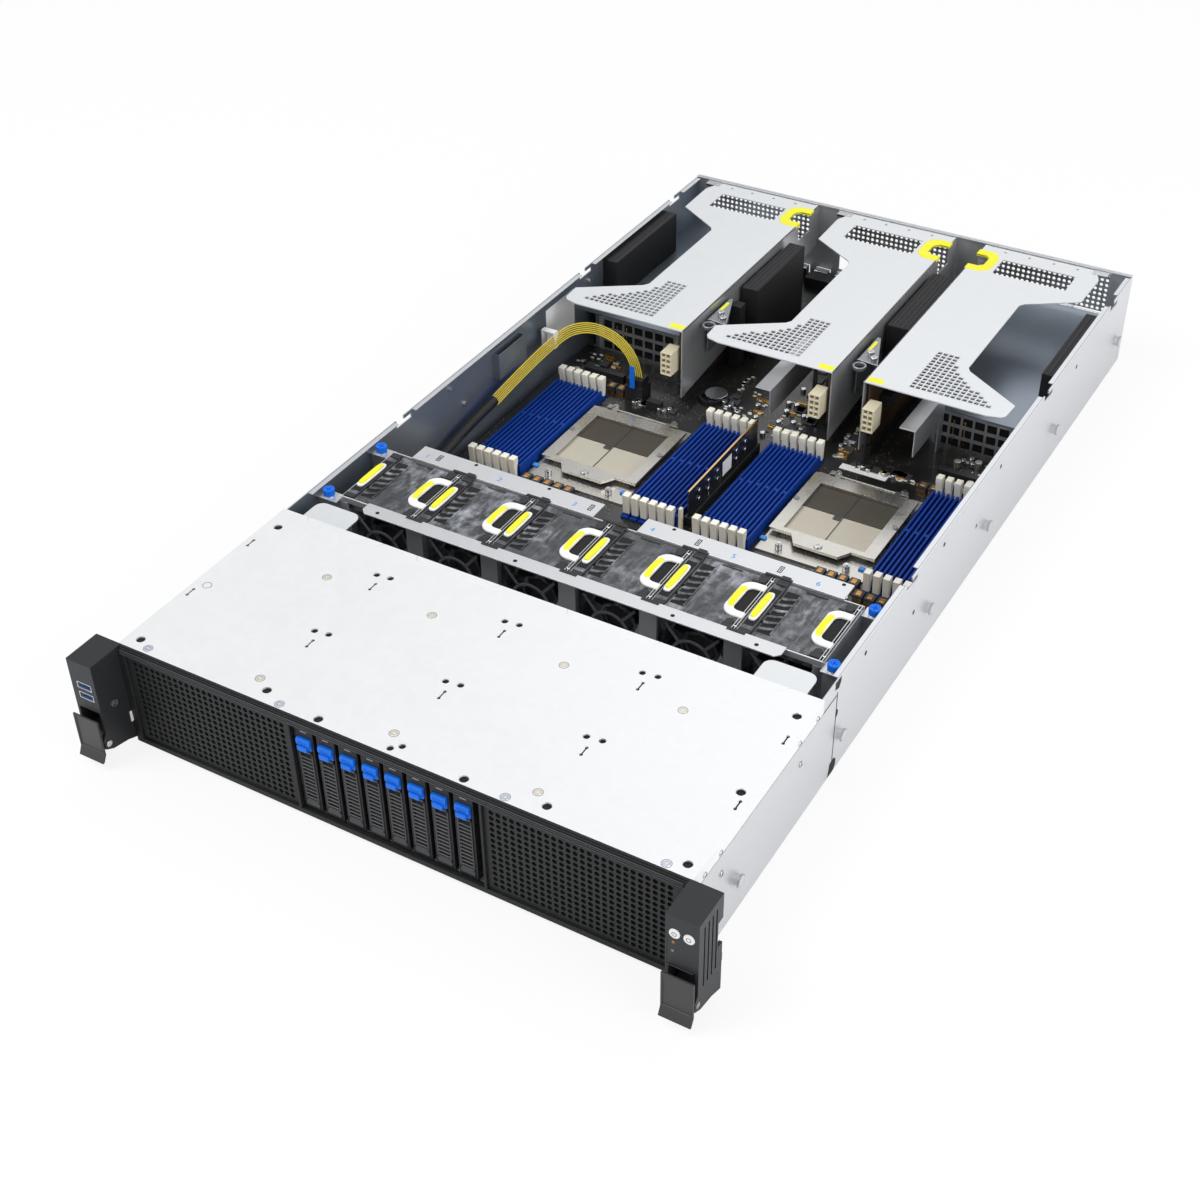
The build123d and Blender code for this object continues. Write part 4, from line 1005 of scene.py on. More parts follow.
class SERVER_OT_bezel(bpy.types.Operator):
    """Front bezel: stepped frame and two perforated panels"""
    bl_idname = "server.bezel"
    bl_label = "Bezel"

    GRILLES = ((BEZEL_LOW.x + 5.9, -74.4), (75.6, BEZEL_HIGH.x - 5.9))
    LOW, HIGH = 6.5, 81.5

    def execute(self, context):
        dress("front_bezel", self.rule)
        hole = context.scene.server_sizes.grille_hole / MM / 2
        panels = []
        for x0, x1 in self.GRILLES:
            middle = (x0 + x1) / 2
            u, v, depth = (middle - 65, middle + 65), (9.7, 78.3), (-2.4, -1.2)
            panels.append(perforated("Y", u, v, *depth, (26, 14), (hole, hole)))
            panels += [plate("Y", side, (self.LOW, self.HIGH), *depth) for side in ((x0, u[0]), (u[1], x1))]
            panels += [plate("Y", u, edge, *depth) for edge in ((self.LOW, v[0]), (v[1], self.HIGH))]
        seat(panels, "bezel_grilles", "grille black", stands_for=("front_bezel",))
        # Painted shade: dark plates behind the grilles stand for the shade seen through their holes.
        grille_shade = [plate("Y", grille, (self.LOW, self.HIGH), -0.9, -0.4) for grille in self.GRILLES]
        seat(grille_shade, "grille_painted_shade", "dark hole", soft=0.1, steps=1)
        steps = [block((BEZEL_LOW.x + 2, BEZEL_HIGH.x - 2), (-4.9, -4.3), (z, z + 0.7))
                 for z in (82.4, 84.1, 85.8)]
        seat(steps, "bezel_rail_steps", "carrier grey", soft=0.2)
        return {"FINISHED"}

    def rule(self, low, high):
        """Keeps the frame; the grilles take the place of the thin panels."""
        return ("bezel black", 0.35) if high.x - low.x > 300 else (None, 0)


class SERVER_OT_ears(bpy.types.Operator):
    """Rack ears with their flaps, USB sockets, lights and buttons"""
    bl_idname = "server.ears"
    bl_label = "Ears and flaps"

    FACE = -30.4        # just proud of the ears' front faces
    BUTTON_Z = 73.6

    def execute(self, context):
        dress("rack_ears", self.rule)
        for side in ("left", "right"):
            self.flap(f"ear_latch_{side}")
        self.usb_shells()
        self.marks()
        for node, x in (("power_button", 224.1), ("id_button", 233.5)):
            self.button(node, x)
        return {"FINISHED"}

    def rule(self, low, high):
        """The ears are black and the sockets' tongues blue."""
        return ("ear black", 0.6) if high.x - low.x > 15 else ("tongue blue", 0.2)

    def flap(self, node):
        """A flap with a sunk panel inside a narrow border."""
        solid = join(cad_copy(node))
        fronts = [face for face in solid.data.polygons if face.normal.y < -0.5]
        index = max(fronts, key=lambda face: face.area).index
        bpy.ops.object.mode_set(mode="EDIT")
        bpy.ops.mesh.select_mode(type="FACE")
        bpy.ops.mesh.select_all(action="DESELECT")
        bpy.ops.object.mode_set(mode="OBJECT")
        solid.data.polygons[index].select = True
        bpy.ops.object.mode_set(mode="EDIT")
        bpy.ops.mesh.inset(thickness=1.3 * MM, depth=0)
        bpy.ops.mesh.inset(thickness=0.2 * MM, depth=-0.8 * MM)
        bpy.ops.mesh.select_mode(type="VERT")
        bpy.ops.object.mode_set(mode="OBJECT")
        seat(solid, node + "_flap", "flap grey", soft=0.3, body=node, stands_for=(node,))

    def usb_shells(self):
        """Plated shells round the two sockets."""
        shells = []
        for z in (67.2, 58.3):
            shell = plate("Y", (-234.4, -221.6), (z - 2.75, z + 2.75), -30.25, -22)
            shells.append(cut(shell, plate("Y", (-233.9, -222.1), (z - 2.3, z + 2.3), -31, -21)))
        seat(shells, "usb_shells", "plug metal", soft=0.12, steps=1)

    def marks(self):
        """Lights, the panel's border, the screws with the flaps' pivot heads, and the pale clip."""
        for name, x, z, colour in (("alert_light", 223.3, 66, "lens amber"),
                                   ("network_light", 222.9, 58.6, "lens green")):
            seat(rod("Y", x, z, self.FACE, -29, 1.1, 16), name, colour, soft=0.3)
        border = [plate("Y", (218.6, 219.0), (45, 68), self.FACE, -29),
                  plate("Y", (218.6, 236.8), (45, 45.4), self.FACE, -29)]
        seat(border, "ear_panel_border", "carrier grey", soft=0.12, steps=1)
        metal = [ring("X", -17, 47, -218.2, -217.2, 2.7, 1.5), rod("X", -17, 47, -218.2, -217.5, 0.8, 12)]
        for side in SIDES:
            for near, far in ((239.6, 240), (217.6, 218.2)):
                metal.append(soften(rod("X", -29, 19, side * near, side * far, 2.4, 20), 0.15, 1))
        seat(metal, "ear_screws", "plug metal")
        clip = block((-218.2, -217.3), (-6.3, -3.7), (21.5, 30.5))
        seat(clip, "ear_clip", "label white", soft=0.3)

    def button(self, node, x):
        """A white cap with a plain ring, which a bar breaks on the power button."""
        z, depth = self.BUTTON_Z, (-30.86, -30.7)
        cap = rod("Y", x, z, -30.8, -26.5, 3.6, 40)
        seat(cap, node + "_cap", "white", soft=0.5, body=node, stands_for=(node,))
        mark = ring("Y", x, z, *depth, 1.7, 1.3, 28)
        if node == "power_button":
            mark = cut(mark, plate("Y", (x - 0.7, x + 0.7), (z + 0.8, z + 2.4), -31.5, -30))
            mark = join([mark, plate("Y", (x - 0.2, x + 0.2), (z + 0.1, z + 2.0), *depth)])
        seat(mark, node + "_mark", "chip grey", body=node)


class SERVER_OT_drives(bpy.types.Operator):
    """Drive cage, carriers, louvred levers and release tabs"""
    bl_idname = "server.drives"
    bl_label = "Drives"

    MIDDLE = -63.6      # of the first bay

    def execute(self, context):
        dress("drive_cage", self.cage_rule)
        patterns = self.lever(context.scene.server_sizes.louvres)
        lip = self.lip()
        lens = soften(block((-66.1, -61.1), (-1.62, -1.3), (76.4, 77.2)), 0.1, 1)
        for bay in range(1, BAYS + 1):
            shift = (bay - 1) * BAY_PITCH
            carrier, lever, button = f"drive_carrier_{bay}", f"carrier_lever_{bay}", f"release_button_{bay}"
            dress(carrier, self.carrier_rule, carrier)
            seat(again(lens, shift), f"drive_light_{bay}", "lens clear", body=carrier)
            for name, colour, pattern in patterns:
                seat(again(pattern, shift), f"{name}_{bay}", colour, body=lever,
                     stands_for=(lever,))
            coat(button, "tab blue", 0.4)
            seat(again(lip, shift), f"release_lip_{bay}", "tab blue", body=button)
        discard(lip, lens, *(pattern for name, colour, pattern in patterns))
        return {"FINISHED"}

    def cage_rule(self, low, high):
        """The cage and its guides are steel, the backplane a board and its sockets black."""
        if high.y - low.y > 100:
            return "tray steel", 0
        return ("board", 0.1) if high.x - low.x > 50 else ("fan black", 0.3)

    def carrier_rule(self, low, high):
        """The drive inside each carrier is steel."""
        return ("tray steel", 0.3) if high.x - low.x < 12.1 else ("carrier black", 0.3)

    def lip(self):
        """The first button's nose at its foot, and the six ridges above it."""
        low, high = ends("release_button_1")
        nose = block((low.x + 1.6, high.x - 1.6), (low.y - 1.6, low.y + 0.5), (low.z + 0.4, low.z + 4.2))
        ridges = []
        for k in range(6):
            x = low.x + 1.6 + 1.3 * k
            ridge = block((x, x + 0.6), (low.y - 0.35, low.y + 0.3), (low.z + 5.0, low.z + 7.6))
            ridges.append(soften(ridge, 0.12, 1))
        return join([soften(nose, 0.5)] + ridges)

    def lever(self, count):
        """The first bay's lever as (name, finish, shape): its frame, its slats, and the dark pan behind them
        as painted shade.
        """
        middle, half = self.MIDDLE, 5.5
        z0, z1, depth = 14.5, 61.0, (-2.2, 0)
        width = (middle - half, middle + half)
        frame_bars = [block((middle + k * half, middle + k * (half - 1.1)), depth, (z0, z1)) for k in SIDES]
        frame_bars += [block(width, depth, (z1 - 2.2, z1)), block(width, depth, (10.8, 16.5)),
                       rod("X", 0.6, 13, *width, 2.3, 20)]
        # Painted shade: a dark pan behind the slats.
        painted_shade_pan = block((middle - half + 0.6, middle + half - 0.6), (-0.4, 0), (z0, z1 - 1))
        pitch = (z1 - 4 - 17.5) / count
        slats = row(block((middle - 4.6, middle + 4.6), (-2.0, -1.4), (17.6, 18.3)), count, z=pitch)
        return (("louvred_lever", "carrier grey", soften(join(frame_bars), 0.2, 1)),
                ("lever_painted_shade", "dark hole", soften(painted_shade_pan, 0.1, 1)),
                ("lever_slats", "slat grey", soften(slats, 0.1, 1)))


class SERVER_OT_fan_wall(bpy.types.Operator):
    """Steel fan frame with its beams, numbers and blue thumb screws"""
    bl_idname = "server.fan_wall"
    bl_label = "Fan wall"

    def execute(self, context):
        dress("fan_wall", self.rule)
        self.thumb_screws()
        self.beam_marks()
        return {"FINISHED"}

    def rule(self, low, high):
        """Steel all over; the thumb screws are made anew."""
        return (None, 0) if 4.5 < high.z - low.z < 5.5 else ("tray steel", 0.2)

    def thumb_screws(self):
        """Knurled captive screws on bright collars."""
        crests, outline = 24, []
        for k in range(2 * crests):
            radius = 4.5 if k % 2 else 4.05
            angle = math.pi * k / crests
            outline.append((radius * math.cos(angle), radius * math.sin(angle)))
        hollow = [rod("Z", 0, 0, 86.6, 89, 3.2, 24)]
        hollow += [plate("Z", (-u, u), (-v, v), 85.6, 89) for u, v in ((2.4, 0.5), (0.5, 2.4))]
        knob = soften(cut(prism(outline, "Z", 81.9, 87.2), *hollow), 0.15, 1)
        collar = rod("Z", 0, 0, 81.2, 82.0, 4.4, 32)
        spots = [(x, y, 0) for x in (-207.25, 209.75) for y in (217.3, 285.0)]
        for name, shape, colour in (("thumb_screws", knob, "tab blue"), ("thumb_collars", collar, "nickel")):
            seat(copies(shape, spots), name, colour, stands_for=("fan_wall",))

    def beam_marks(self):
        """Plain numbers, holes and staples drawn as dark painted shade, and the black clips where modules
        meet the beams.
        """
        words = [number(str(k + 1), FAN_PITCH * k - 168.0, 289.5, BEAM_TOP, 7.0) for k in range(FANS)]
        seat(words, "fan_numbers", "print blue")
        holes = [rod("Z", x, 299.5, BEAM_TOP, BEAM_TOP + 0.06, 1.5, 14) for x in (-128, -62, 45, 180)]
        holes += [rod("Z", x, 210.5, BEAM_TOP, BEAM_TOP + 0.06, 1.6, 14) for x in (-157, -36, 92, 156)]
        for x in (-158, -22, 68, 134):
            staple = plate("Z", (x - 1.6, x + 1.6), (290.0, 297.5), BEAM_TOP, BEAM_TOP + 0.2)
            inside = plate("Z", (x - 1.1, x + 1.1), (290.5, 297.0), BEAM_TOP - 1, BEAM_TOP + 1)
            pin = plate("Z", (x - 0.25, x + 0.25), (291.5, 296), BEAM_TOP, BEAM_TOP + 0.2)
            holes += [cut(staple, inside), pin]
        # Painted shade: the holes and staples are dark marks on the beam's top.
        seat(holes, "beam_hole_shade", "dark hole")
        height = (BEAM_TOP - 0.4, BEAM_TOP + 0.5)
        clips = []
        for k in range(FANS + 1):
            x = FAN_PITCH * (k - 3) + 2.5
            if abs(x) < 160:
                clips += [block((x - 5, x + 9), (215.6, 218.4), height),
                          block((x - 9, x + 12), (283.8, 286.2), height),
                          block((x + 3, x + 10), (286, 288.0), height)]
        seat(clips, "beam_clips", "fan black", soft=0.3)


class SERVER_OT_fans(bpy.types.Operator):
    """Fan modules: smoky caps, finger grips, latch pads and rotors"""
    bl_idname = "server.fans"
    bl_label = "Fans"

    LEFT, RIGHT = -195.6, -131.4    # of the first module's cap

    def execute(self, context):
        patterns = self.first_module(context.scene.server_sizes.fins)
        for index in range(FANS):
            node = f"fan_module_{index + 1}"
            dress(node, self.rule, node)
            for name, (colour, slot, pattern) in patterns.items():
                seat(again(pattern, index * FAN_PITCH), f"{name}_{index + 1}", colour, body=node,
                     stands_for=(node,))
            coat(f"fan_rotor_{index + 1}", "rotor grey", 0.4)
        discard(*(pattern for colour, slot, pattern in patterns.values()))
        return {"FINISHED"}

    def rule(self, low, high):
        """Keeps the module's case; its small parts are made anew."""
        return ("fan grey", 0.5) if high.x - low.x > 40 else (None, 0)

    def pad(self, x, y, bend=0.0):
        """An upright bar with rounded corners, bowed by a bend, as an outline."""
        sides, square = 16, 0.45
        outline = []
        for step in range(sides):
            angle = 2 * math.pi * step / sides
            across, along = [math.copysign(abs(part) ** square, part)
                             for part in (math.cos(angle), math.sin(angle))]
            outline.append(((x[0] + x[1]) / 2 + (x[1] - x[0]) / 2 * across + bend * along * along,
                            (y[0] + y[1]) / 2 + (y[1] - y[0]) / 2 * along))
        return outline

    def grip(self, x1):
        """The white handle: a C with round corners, and the yellow pad on its outer bow."""
        y0, y1, edge = 231.5, 272.0, 6.2
        outer = [(x1, y0), (x1 - 8, y0)]
        inner = [(x1 + 1, y0 + edge), (x1 - 6, y0 + edge)]
        for outline, bend, reach, inset in ((outer, 9.5, 17.5, 0.0), (inner, 5.0, 11.0, edge)):
            for corner, start in ((y0 + inset + bend, 270), (y1 - inset - bend, 180)):
                for step in range(1, 6):
                    angle = math.radians(start - 18 * step)
                    across, along = bend * math.cos(angle), bend * math.sin(angle)
                    outline.append((x1 - reach + bend + across, corner + along))
        outer += [(x1 - 8, y1), (x1, y1)]
        inner += [(x1 - 6, y1 - edge), (x1 + 1, y1 - edge)]
        handle = cut(prism(outer, "Z", 84.0, 86.3), prism(inner, "Z", 83, 88))
        pad = prism(self.pad((x1 - 17.0, x1 - 11.8), (y0 + 7.5, y1 - 7.5), 1.6), "Z", 85.9, 86.55)
        return soften(handle, 0.8, 3), soften(pad, 0.3)

    def fins(self, x0, count):
        """Slanted fins in a dark channel along the cap's left side."""
        pitch = 44.0 / count
        fin = ((12, 0), (16, 0.6), (22, 3.4), (22, 5.4), (16, 3.2), (12, 2.6))
        made = [prism([(x0 + u, 228.0 + pitch * k + v) for u, v in fin], "Z", CAP_TOP, 84.9)
                for k in range(count)]
        made.append(block((x0 + 21.6, x0 + 22.6), (226, 275), (CAP_TOP, 84.7)))
        return made

    def guard_ring(self, x):
        """The pale ring and arms in the middle of the front guard."""
        z, front = 44, ends("fan_module_1")[0].y + 0.05
        pieces = [ring("Y", x, z, front, front + 1.15, 16.5, 14.3, 36)]
        corners = ((15.5, -1.1), (33, -1.1), (33, 1.1), (15.5, 1.1))
        for degrees in (50, 130, 230, 310):
            angle = math.radians(degrees)
            across, up = math.cos(angle), math.sin(angle)
            arm = [(x + across * reach - side * up, z + up * reach + side * across)
                   for reach, side in corners]
            pieces.append(prism(arm, "Y", front, front + 1.05))
        return soften(join(pieces), 0.2, 1)

    def cap_clips(self, x0, x1):
        """Black corner clips, ledges and round catches on the cap."""
        clips = [block((x, x + 9), (y, y + 4.5), (CAP_TOP, 85.4))
                 for x in (x0 + 1, x1 - 10) for y in (219.2, 278.8)]
        clips += [block((x0 + 9.2, x0 + 10.4), (222, 281), (CAP_TOP, 85.2)),
                  block((x1 - 13.5, x1 - 1), (274.5, 276), (CAP_TOP, 84.9)),
                  block((x0 + 24, x0 + 40), (280.4, 281.6), (CAP_TOP, 84.8))]
        clips += [rod("Z", x1 - 6, y, CAP_TOP, 85.6, 3.2, 16) for y in (225.5, 277.5)]
        return soften(join(clips), 0.25, 1)

    def first_module(self, fins):
        """The fine pieces of the first module, as patterns: each one's finish, slot and shape."""
        x0, x1 = self.LEFT, self.RIGHT
        handle, handle_pad = self.grip(x1)
        strip = prism(self.pad((x0 + 0.3, x0 + 7.0), (234.0, 268.0)), "Z", 84.0, 85.3)
        latch_pad = prism(self.pad((x0 + 1.0, x0 + 5.6), (236.5, 265.5)), "Z", 85.2, 86.5)
        # Painted shade: dark blocks in the cap's recesses, under the fins, the latch strip and the grip.
        recess_shade = [block((x0 + 11.5, x0 + 22.5), (225, 276), (83.6, 84.05)),
                   block((x0 + 0.4, x0 + 8.0), (229, 274), (83.6, 84.2)),
                   block((x1 - 11, x1 - 0.4), (238, 266), (83.6, 84.05))]
        lines = [block((x0 + 26, x1 - 20), (y, y + 0.5), (83.9, 84.15)) for y in (236, 258)]
        lines += [block((x, x + 0.5), (224, 280), (83.9, 84.15)) for x in (x0 + 32, x0 + 41)]
        lines.append(ring("Z", x0 + 36, 232, 83.9, 84.25, 3.6, 3.0, 28))
        wires = [block((x1 + dx, x1 + dx + 0.6), (216, 285), (84.0, 85.6)) for dx in (-1.9, 0.2)]
        wires += [block((x1 - 2.6, x1 + 1.2), (y, y + 0.8), (84.4, 85.4)) for y in (222, 279)]
        cap_lines = soften(join(self.fins(x0, fins) + lines), 0.15, 1)
        return {
            "fan_grip": ("white", "latch_ivory", handle),
            "fan_grip_pad": ("yellow", "release_blue", handle_pad),
            "fan_latch_pad": ("yellow", "release_blue", soften(latch_pad, 0.3)),
            "fan_latch_strip": ("white", "latch_ivory", soften(strip, 0.25)),
            "fan_divider_wires": ("plug metal", "frame_steel", soften(join(wires), 0.15, 1)),
            "fan_guard_ring": ("guard grey", "fan_black", self.guard_ring(x0 + 32.1)),
            "fan_cap_fins": ("fan grey", "fan_black", cap_lines),
            "fan_cap_painted_shade": ("dark hole", "fan_black", soften(join(recess_shade), 0.1, 1)),
            "fan_cap_clips": ("fan black", "fan_black", self.cap_clips(x0, x1)),
        }


class SERVER_OT_board(bpy.types.Operator):
    """Main board: sockets, latches, processor frames, coils and small parts"""
    bl_idname = "server.board"
    bl_label = "Main board"

    SOCKETS = (-103.5, 109.5)               # the middles of the two processor places
    BANKS = (-176.0, -27.3, 36.1, 183.0)    # the middles of the four banks of six memory sockets
    # Free zones as left, right, front and rear.
    ZONES = ((-196, -144, 345, 380), (-60, 62, 345, 382), (150, 205, 345, 382), (-128, -84, 541, 552),
             (-60, -12, 548, 640), (-6, 30, 548, 640), (62, 76, 548, 640), (84, 150, 542, 554),
             (-210, -160, 548, 606), (158, 210, 548, 606), (-66, 50, 650, 820), (64, 100, 660, 820))
    # Rows of coils as the first one's x and y, their number and their pitch.
    COILS = ((-148, 388.5, 5, 10), (119, 388.5, 4, 9.6), (157, 376.5, 4, 9.6), (-200, 376.5, 5, 9.6),
             (-158, 548, 2, 9.6), (144, 536, 2, 9.6))
    CANS = ((156, 556), (168, 552), (181, 560), (193, 553), (160, 585), (176, 592), (-196, 560), (-182, 571))

    def execute(self, context):
        dress("motherboard", self.rule)
        for node in ("dimm_latches_front", "dimm_latches_rear"):
            dress(node, lambda low, high: ("ivory", 0.5), node)
        self.memory_sockets()
        for node, x in zip(("socket_frame_left", "socket_frame_right"), self.SOCKETS):
            self.processor(node, x)
        self.coils()
        self.board_marks()
        self.side_card()
        self.small_parts(context.scene.server_sizes.small_parts)
        return {"FINISHED"}

    def rule(self, low, high):
        """The finish of each of the board's solids, by its size and height."""
        size = high - low
        if size.x > 300:
            return "board", 0
        if high.z < 9:
            return "nickel", 0.2
        if 6.3 < size.x < 6.5 and size.y > 150:     # memory sockets, made anew
            return None, 0
        if size.x > 90 and size.y > 100:
            return "frame steel", 0.3
        if size.x > 70 and size.y > 70:             # processor sockets, made anew
            return None, 0
        # Tall solids take the darker steel, which paints shade on them.
        if high.z > 60:
            return "web steel", 0.25
        if size.x < 1.5 and size.y > 100:
            return "card dark", 0.1
        if 6.9 < size.x < 7.1 and size.y < 7.1:     # coils, made anew
            return None, 0
        if 20.9 < size.x < 21.1 and size.z < 4.1:
            return "nickel", 0.6
        return "fan black", 0.35

    def memory_sockets(self):
        """Two-ridged blue sockets with a key break and a latch tower at each end."""
        half = [(1.0, 15), (1.0, 20), (2.9, 20), (3.2, 15.5), (3.2, BOARD_TOP)]
        profile = [(-3.2, BOARD_TOP), *reversed(half), *((-u, v) for u, v in half[:-1])]
        body = prism(profile, "Y", 396, 532)
        key = block((-1.2, 1.2), (468, 471), (14, 20.0))
        towers = []
        for y0, y1 in ((386, 396), (532, 542)):
            tower = block((-3.2, 3.2), (y0, y1), (BOARD_TOP, 12))
            towers.append(cut(tower, block((-2.9, 2.9), (y0 + 1, y1 - 1), (11, 13))))
        shape = soften(join([body, key] + towers), 0.25, 1)
        ledges = [block((-3.3, 3.3), (y, y + 1.2), (16.2, 17.0)) for y in range(404, 530, 6)]
        spots = [(middle + 8 * (k - 2.5), 0, 0) for middle in self.BANKS for k in range(6)]
        made = copies(join([shape] + ledges), spots)
        seat(made, "memory_sockets", "socket blue", stands_for=("motherboard",))

    def processor(self, node, x):
        """A processor place: windowed frame, contact fields and their rim, screws, posts and blue tabs."""
        dress(node, lambda low, high: ("frame steel", 0.35), node)
        slot, width = "frame_steel", (x - 35.5, x + 35.5)
        # Partly painted light: the front field's beige is made paler for the glare on its contacts; the rear
        # field is brown.
        front = plate("Z", width, (429, 467), 11.5, 14.4)
        seat(front, node + "_contacts_front", "socket beige", soft=0.3, steps=1,
             stands_for=("motherboard",))
        rear = plate("Z", width, (468, 506.5), 11.5, 14.4)
        seat(rear, node + "_contacts_rear", "socket brown", soft=0.3, steps=1)
        rim = plate("Z", (x - 37, x + 37), (428, 508), 11.4, 15.0)
        rim = cut(rim, plate("Z", (x - 35, x + 35), (430, 506), 11, 17))
        seat(rim, node + "_socket_rim", "socket beige", soft=0.3, steps=1)
        bar = [block((x - 7, x - 1), (461, 466), (14.4, 15.4)),
               block((x - 0.4, x + 0.4), (432, 504), (14.3, 14.9))]
        seat(bar, node + "_centre_bar", "chip grey", soft=0.2, steps=1)
        seat(screw("Z", x, 418.5, 17.2, 18.6, 3.4), node + "_screw", "nickel", body=node)
        sides = [rod("Z", x + dx, 470.5, 15.0, 18.3, 2.3, 16) for dx in (-43, 43)]
        seat(sides, node + "_side_screws", "dark steel", soft=0.4)
        posts = []
        for dx in (-29, 29):
            for y in (408, 522):
                posts.append(soften(rod("Z", x + dx, y, 11.5, 16.5, 2.9, 20), 0.4))
                posts.append(rod("Z", x + dx, y, 16.3, 17.6, 1.7, 16))
        seat(posts, node + "_posts", "nickel")
        tabs = [block((x + dx - 2.6, x + dx + 2.6), (412.4, 416.6), (11.6, 13.2)) for dx in (-45.5, 39.5)]
        seat(tabs, node + "_tabs", "tongue blue", soft=0.5)

    def coils(self):
        """Rows of square coils with copper windings under their caps."""
        body = soften(block((0, 8.2), (0, 8.6), (BOARD_TOP, 16.2)), 0.5)
        wire = row(block((0.6, 1.9), (-0.3, 8.8), (10.2, 13.4)), 4, x=1.9)
        top = soften(block((2.0, 6.2), (1.8, 6.8), (16.1, 16.5)), 0.2, 1)
        spots = [(x + pitch * k, y, 0) for x, y, count, pitch in self.COILS for k in range(count)]
        for name, shape, colour in (("coil_bodies", body, "chip grey"), ("coil_windings", wire, "copper"),
                                    ("coil_tops", top, "copper")):
            seat(copies(shape, spots), name, colour, stands_for=("motherboard",))

    def board_marks(self):
        """Round cans, the coin cell's holder and a bare pale label."""
        can = soften(rod("Z", 0, 0, BOARD_TOP, 17, 3.2, 18), 0.5)
        seat(copies(can, [(x, y, 0) for x, y in self.CANS]), "board_cans", "plug metal")
        holder = ring("Z", -70, 583, BOARD_TOP, 13, 11.6, 9.4, 28)
        seat(holder, "coin_cell_holder", "fan black", soft=0.3)
        label = plate("Z", (74, 116), (537, 545), BOARD_TOP, 10.3)
        seat(label, "board_label", "label white", soft=0.1, steps=1)

    def side_card(self):
        """Gold edge, round parts, a bare label and the latch of the upright card."""
        edge = block((1.25, 2.75), (404, 526), (41.6, 42.05))
        seat(edge, "side_card_edge", "gold", soft=0.1, steps=1)
        cans = [soften(rod("X", y, z, 2.7, 4.1, 2.4, 18), 0.3, 1)
                for y in (420, 436, 452, 486, 502) for z in (26, 34)]
        seat(cans, "side_card_cans", "nickel")
        label = block((2.65, 2.85), (462, 478), (22, 36))
        seat(label, "side_card_label", "label white", soft=0.08, steps=1)
        latch = block((0.6, 3.4), (389, 393), (12, 34))
        seat(latch, "side_card_latch", "cream", soft=0.6)

    def small_parts(self, count):
        """Chips, cans and pins over the free zones of the board, by a fixed draw."""
        dice = random.Random(11)
        chip = soften(block((0, 3.2), (0, 1.6), (BOARD_TOP, 11)), 0.12, 1)
        can = soften(rod("Z", 0, 0, BOARD_TOP, 13.6, 2.4, 16), 0.3, 1)
        pins = [block((1.2 * k, 1.2 * k + 0.5), (0, 0.5), (BOARD_TOP, 13)) for k in range(8)]
        pins = join(pins + [block((-0.4, 9.3), (-0.5, 1.0), (BOARD_TOP, 11.2))])
        square = soften(block((0, 9), (0, 9), (BOARD_TOP, 11.4)), 0.2, 1)
        kinds = (("white", "label white", chip, 0.30), ("tan", "cream", chip, 0.22),
                 ("silver", "nickel", can, 0.14), ("dark", "chip grey", square, 0.10),
                 ("pins", "gold", pins, 0.06), ("black", "chip grey", chip, 0.18))
        spots = [[] for kind in kinds]
        for x0, x1, y0, y1 in self.ZONES:
            for _ in range(count):
                drawn = dice.choices(spots, [kind[3] for kind in kinds])[0]
                drawn.append((dice.uniform(x0, x1 - 8), dice.uniform(y0, y1 - 6), 0))
        for (name, colour, shape, share), steps in zip(kinds, spots):
            seat([again(shape, *step) for step in steps], f"board_parts_{name}", colour)
        discard(chip, can, pins, square)


class Riser:
    """A riser's node, where its wall stands across the rack, and the side on which its plate lies."""

    def __init__(self, node, wall, side):
        self.node = node
        self.wall = wall
        self.side = side

    def out(self, *distances):
        """Distances from the wall as places across the rack, in rising order."""
        return tuple(sorted(self.wall + self.side * distance for distance in distances))

    def drawn(self, points, from_y=0):
        """An outline given from the wall, and from a place along the rack."""
        return [(self.wall + self.side * x, from_y + y) for x, y in points]


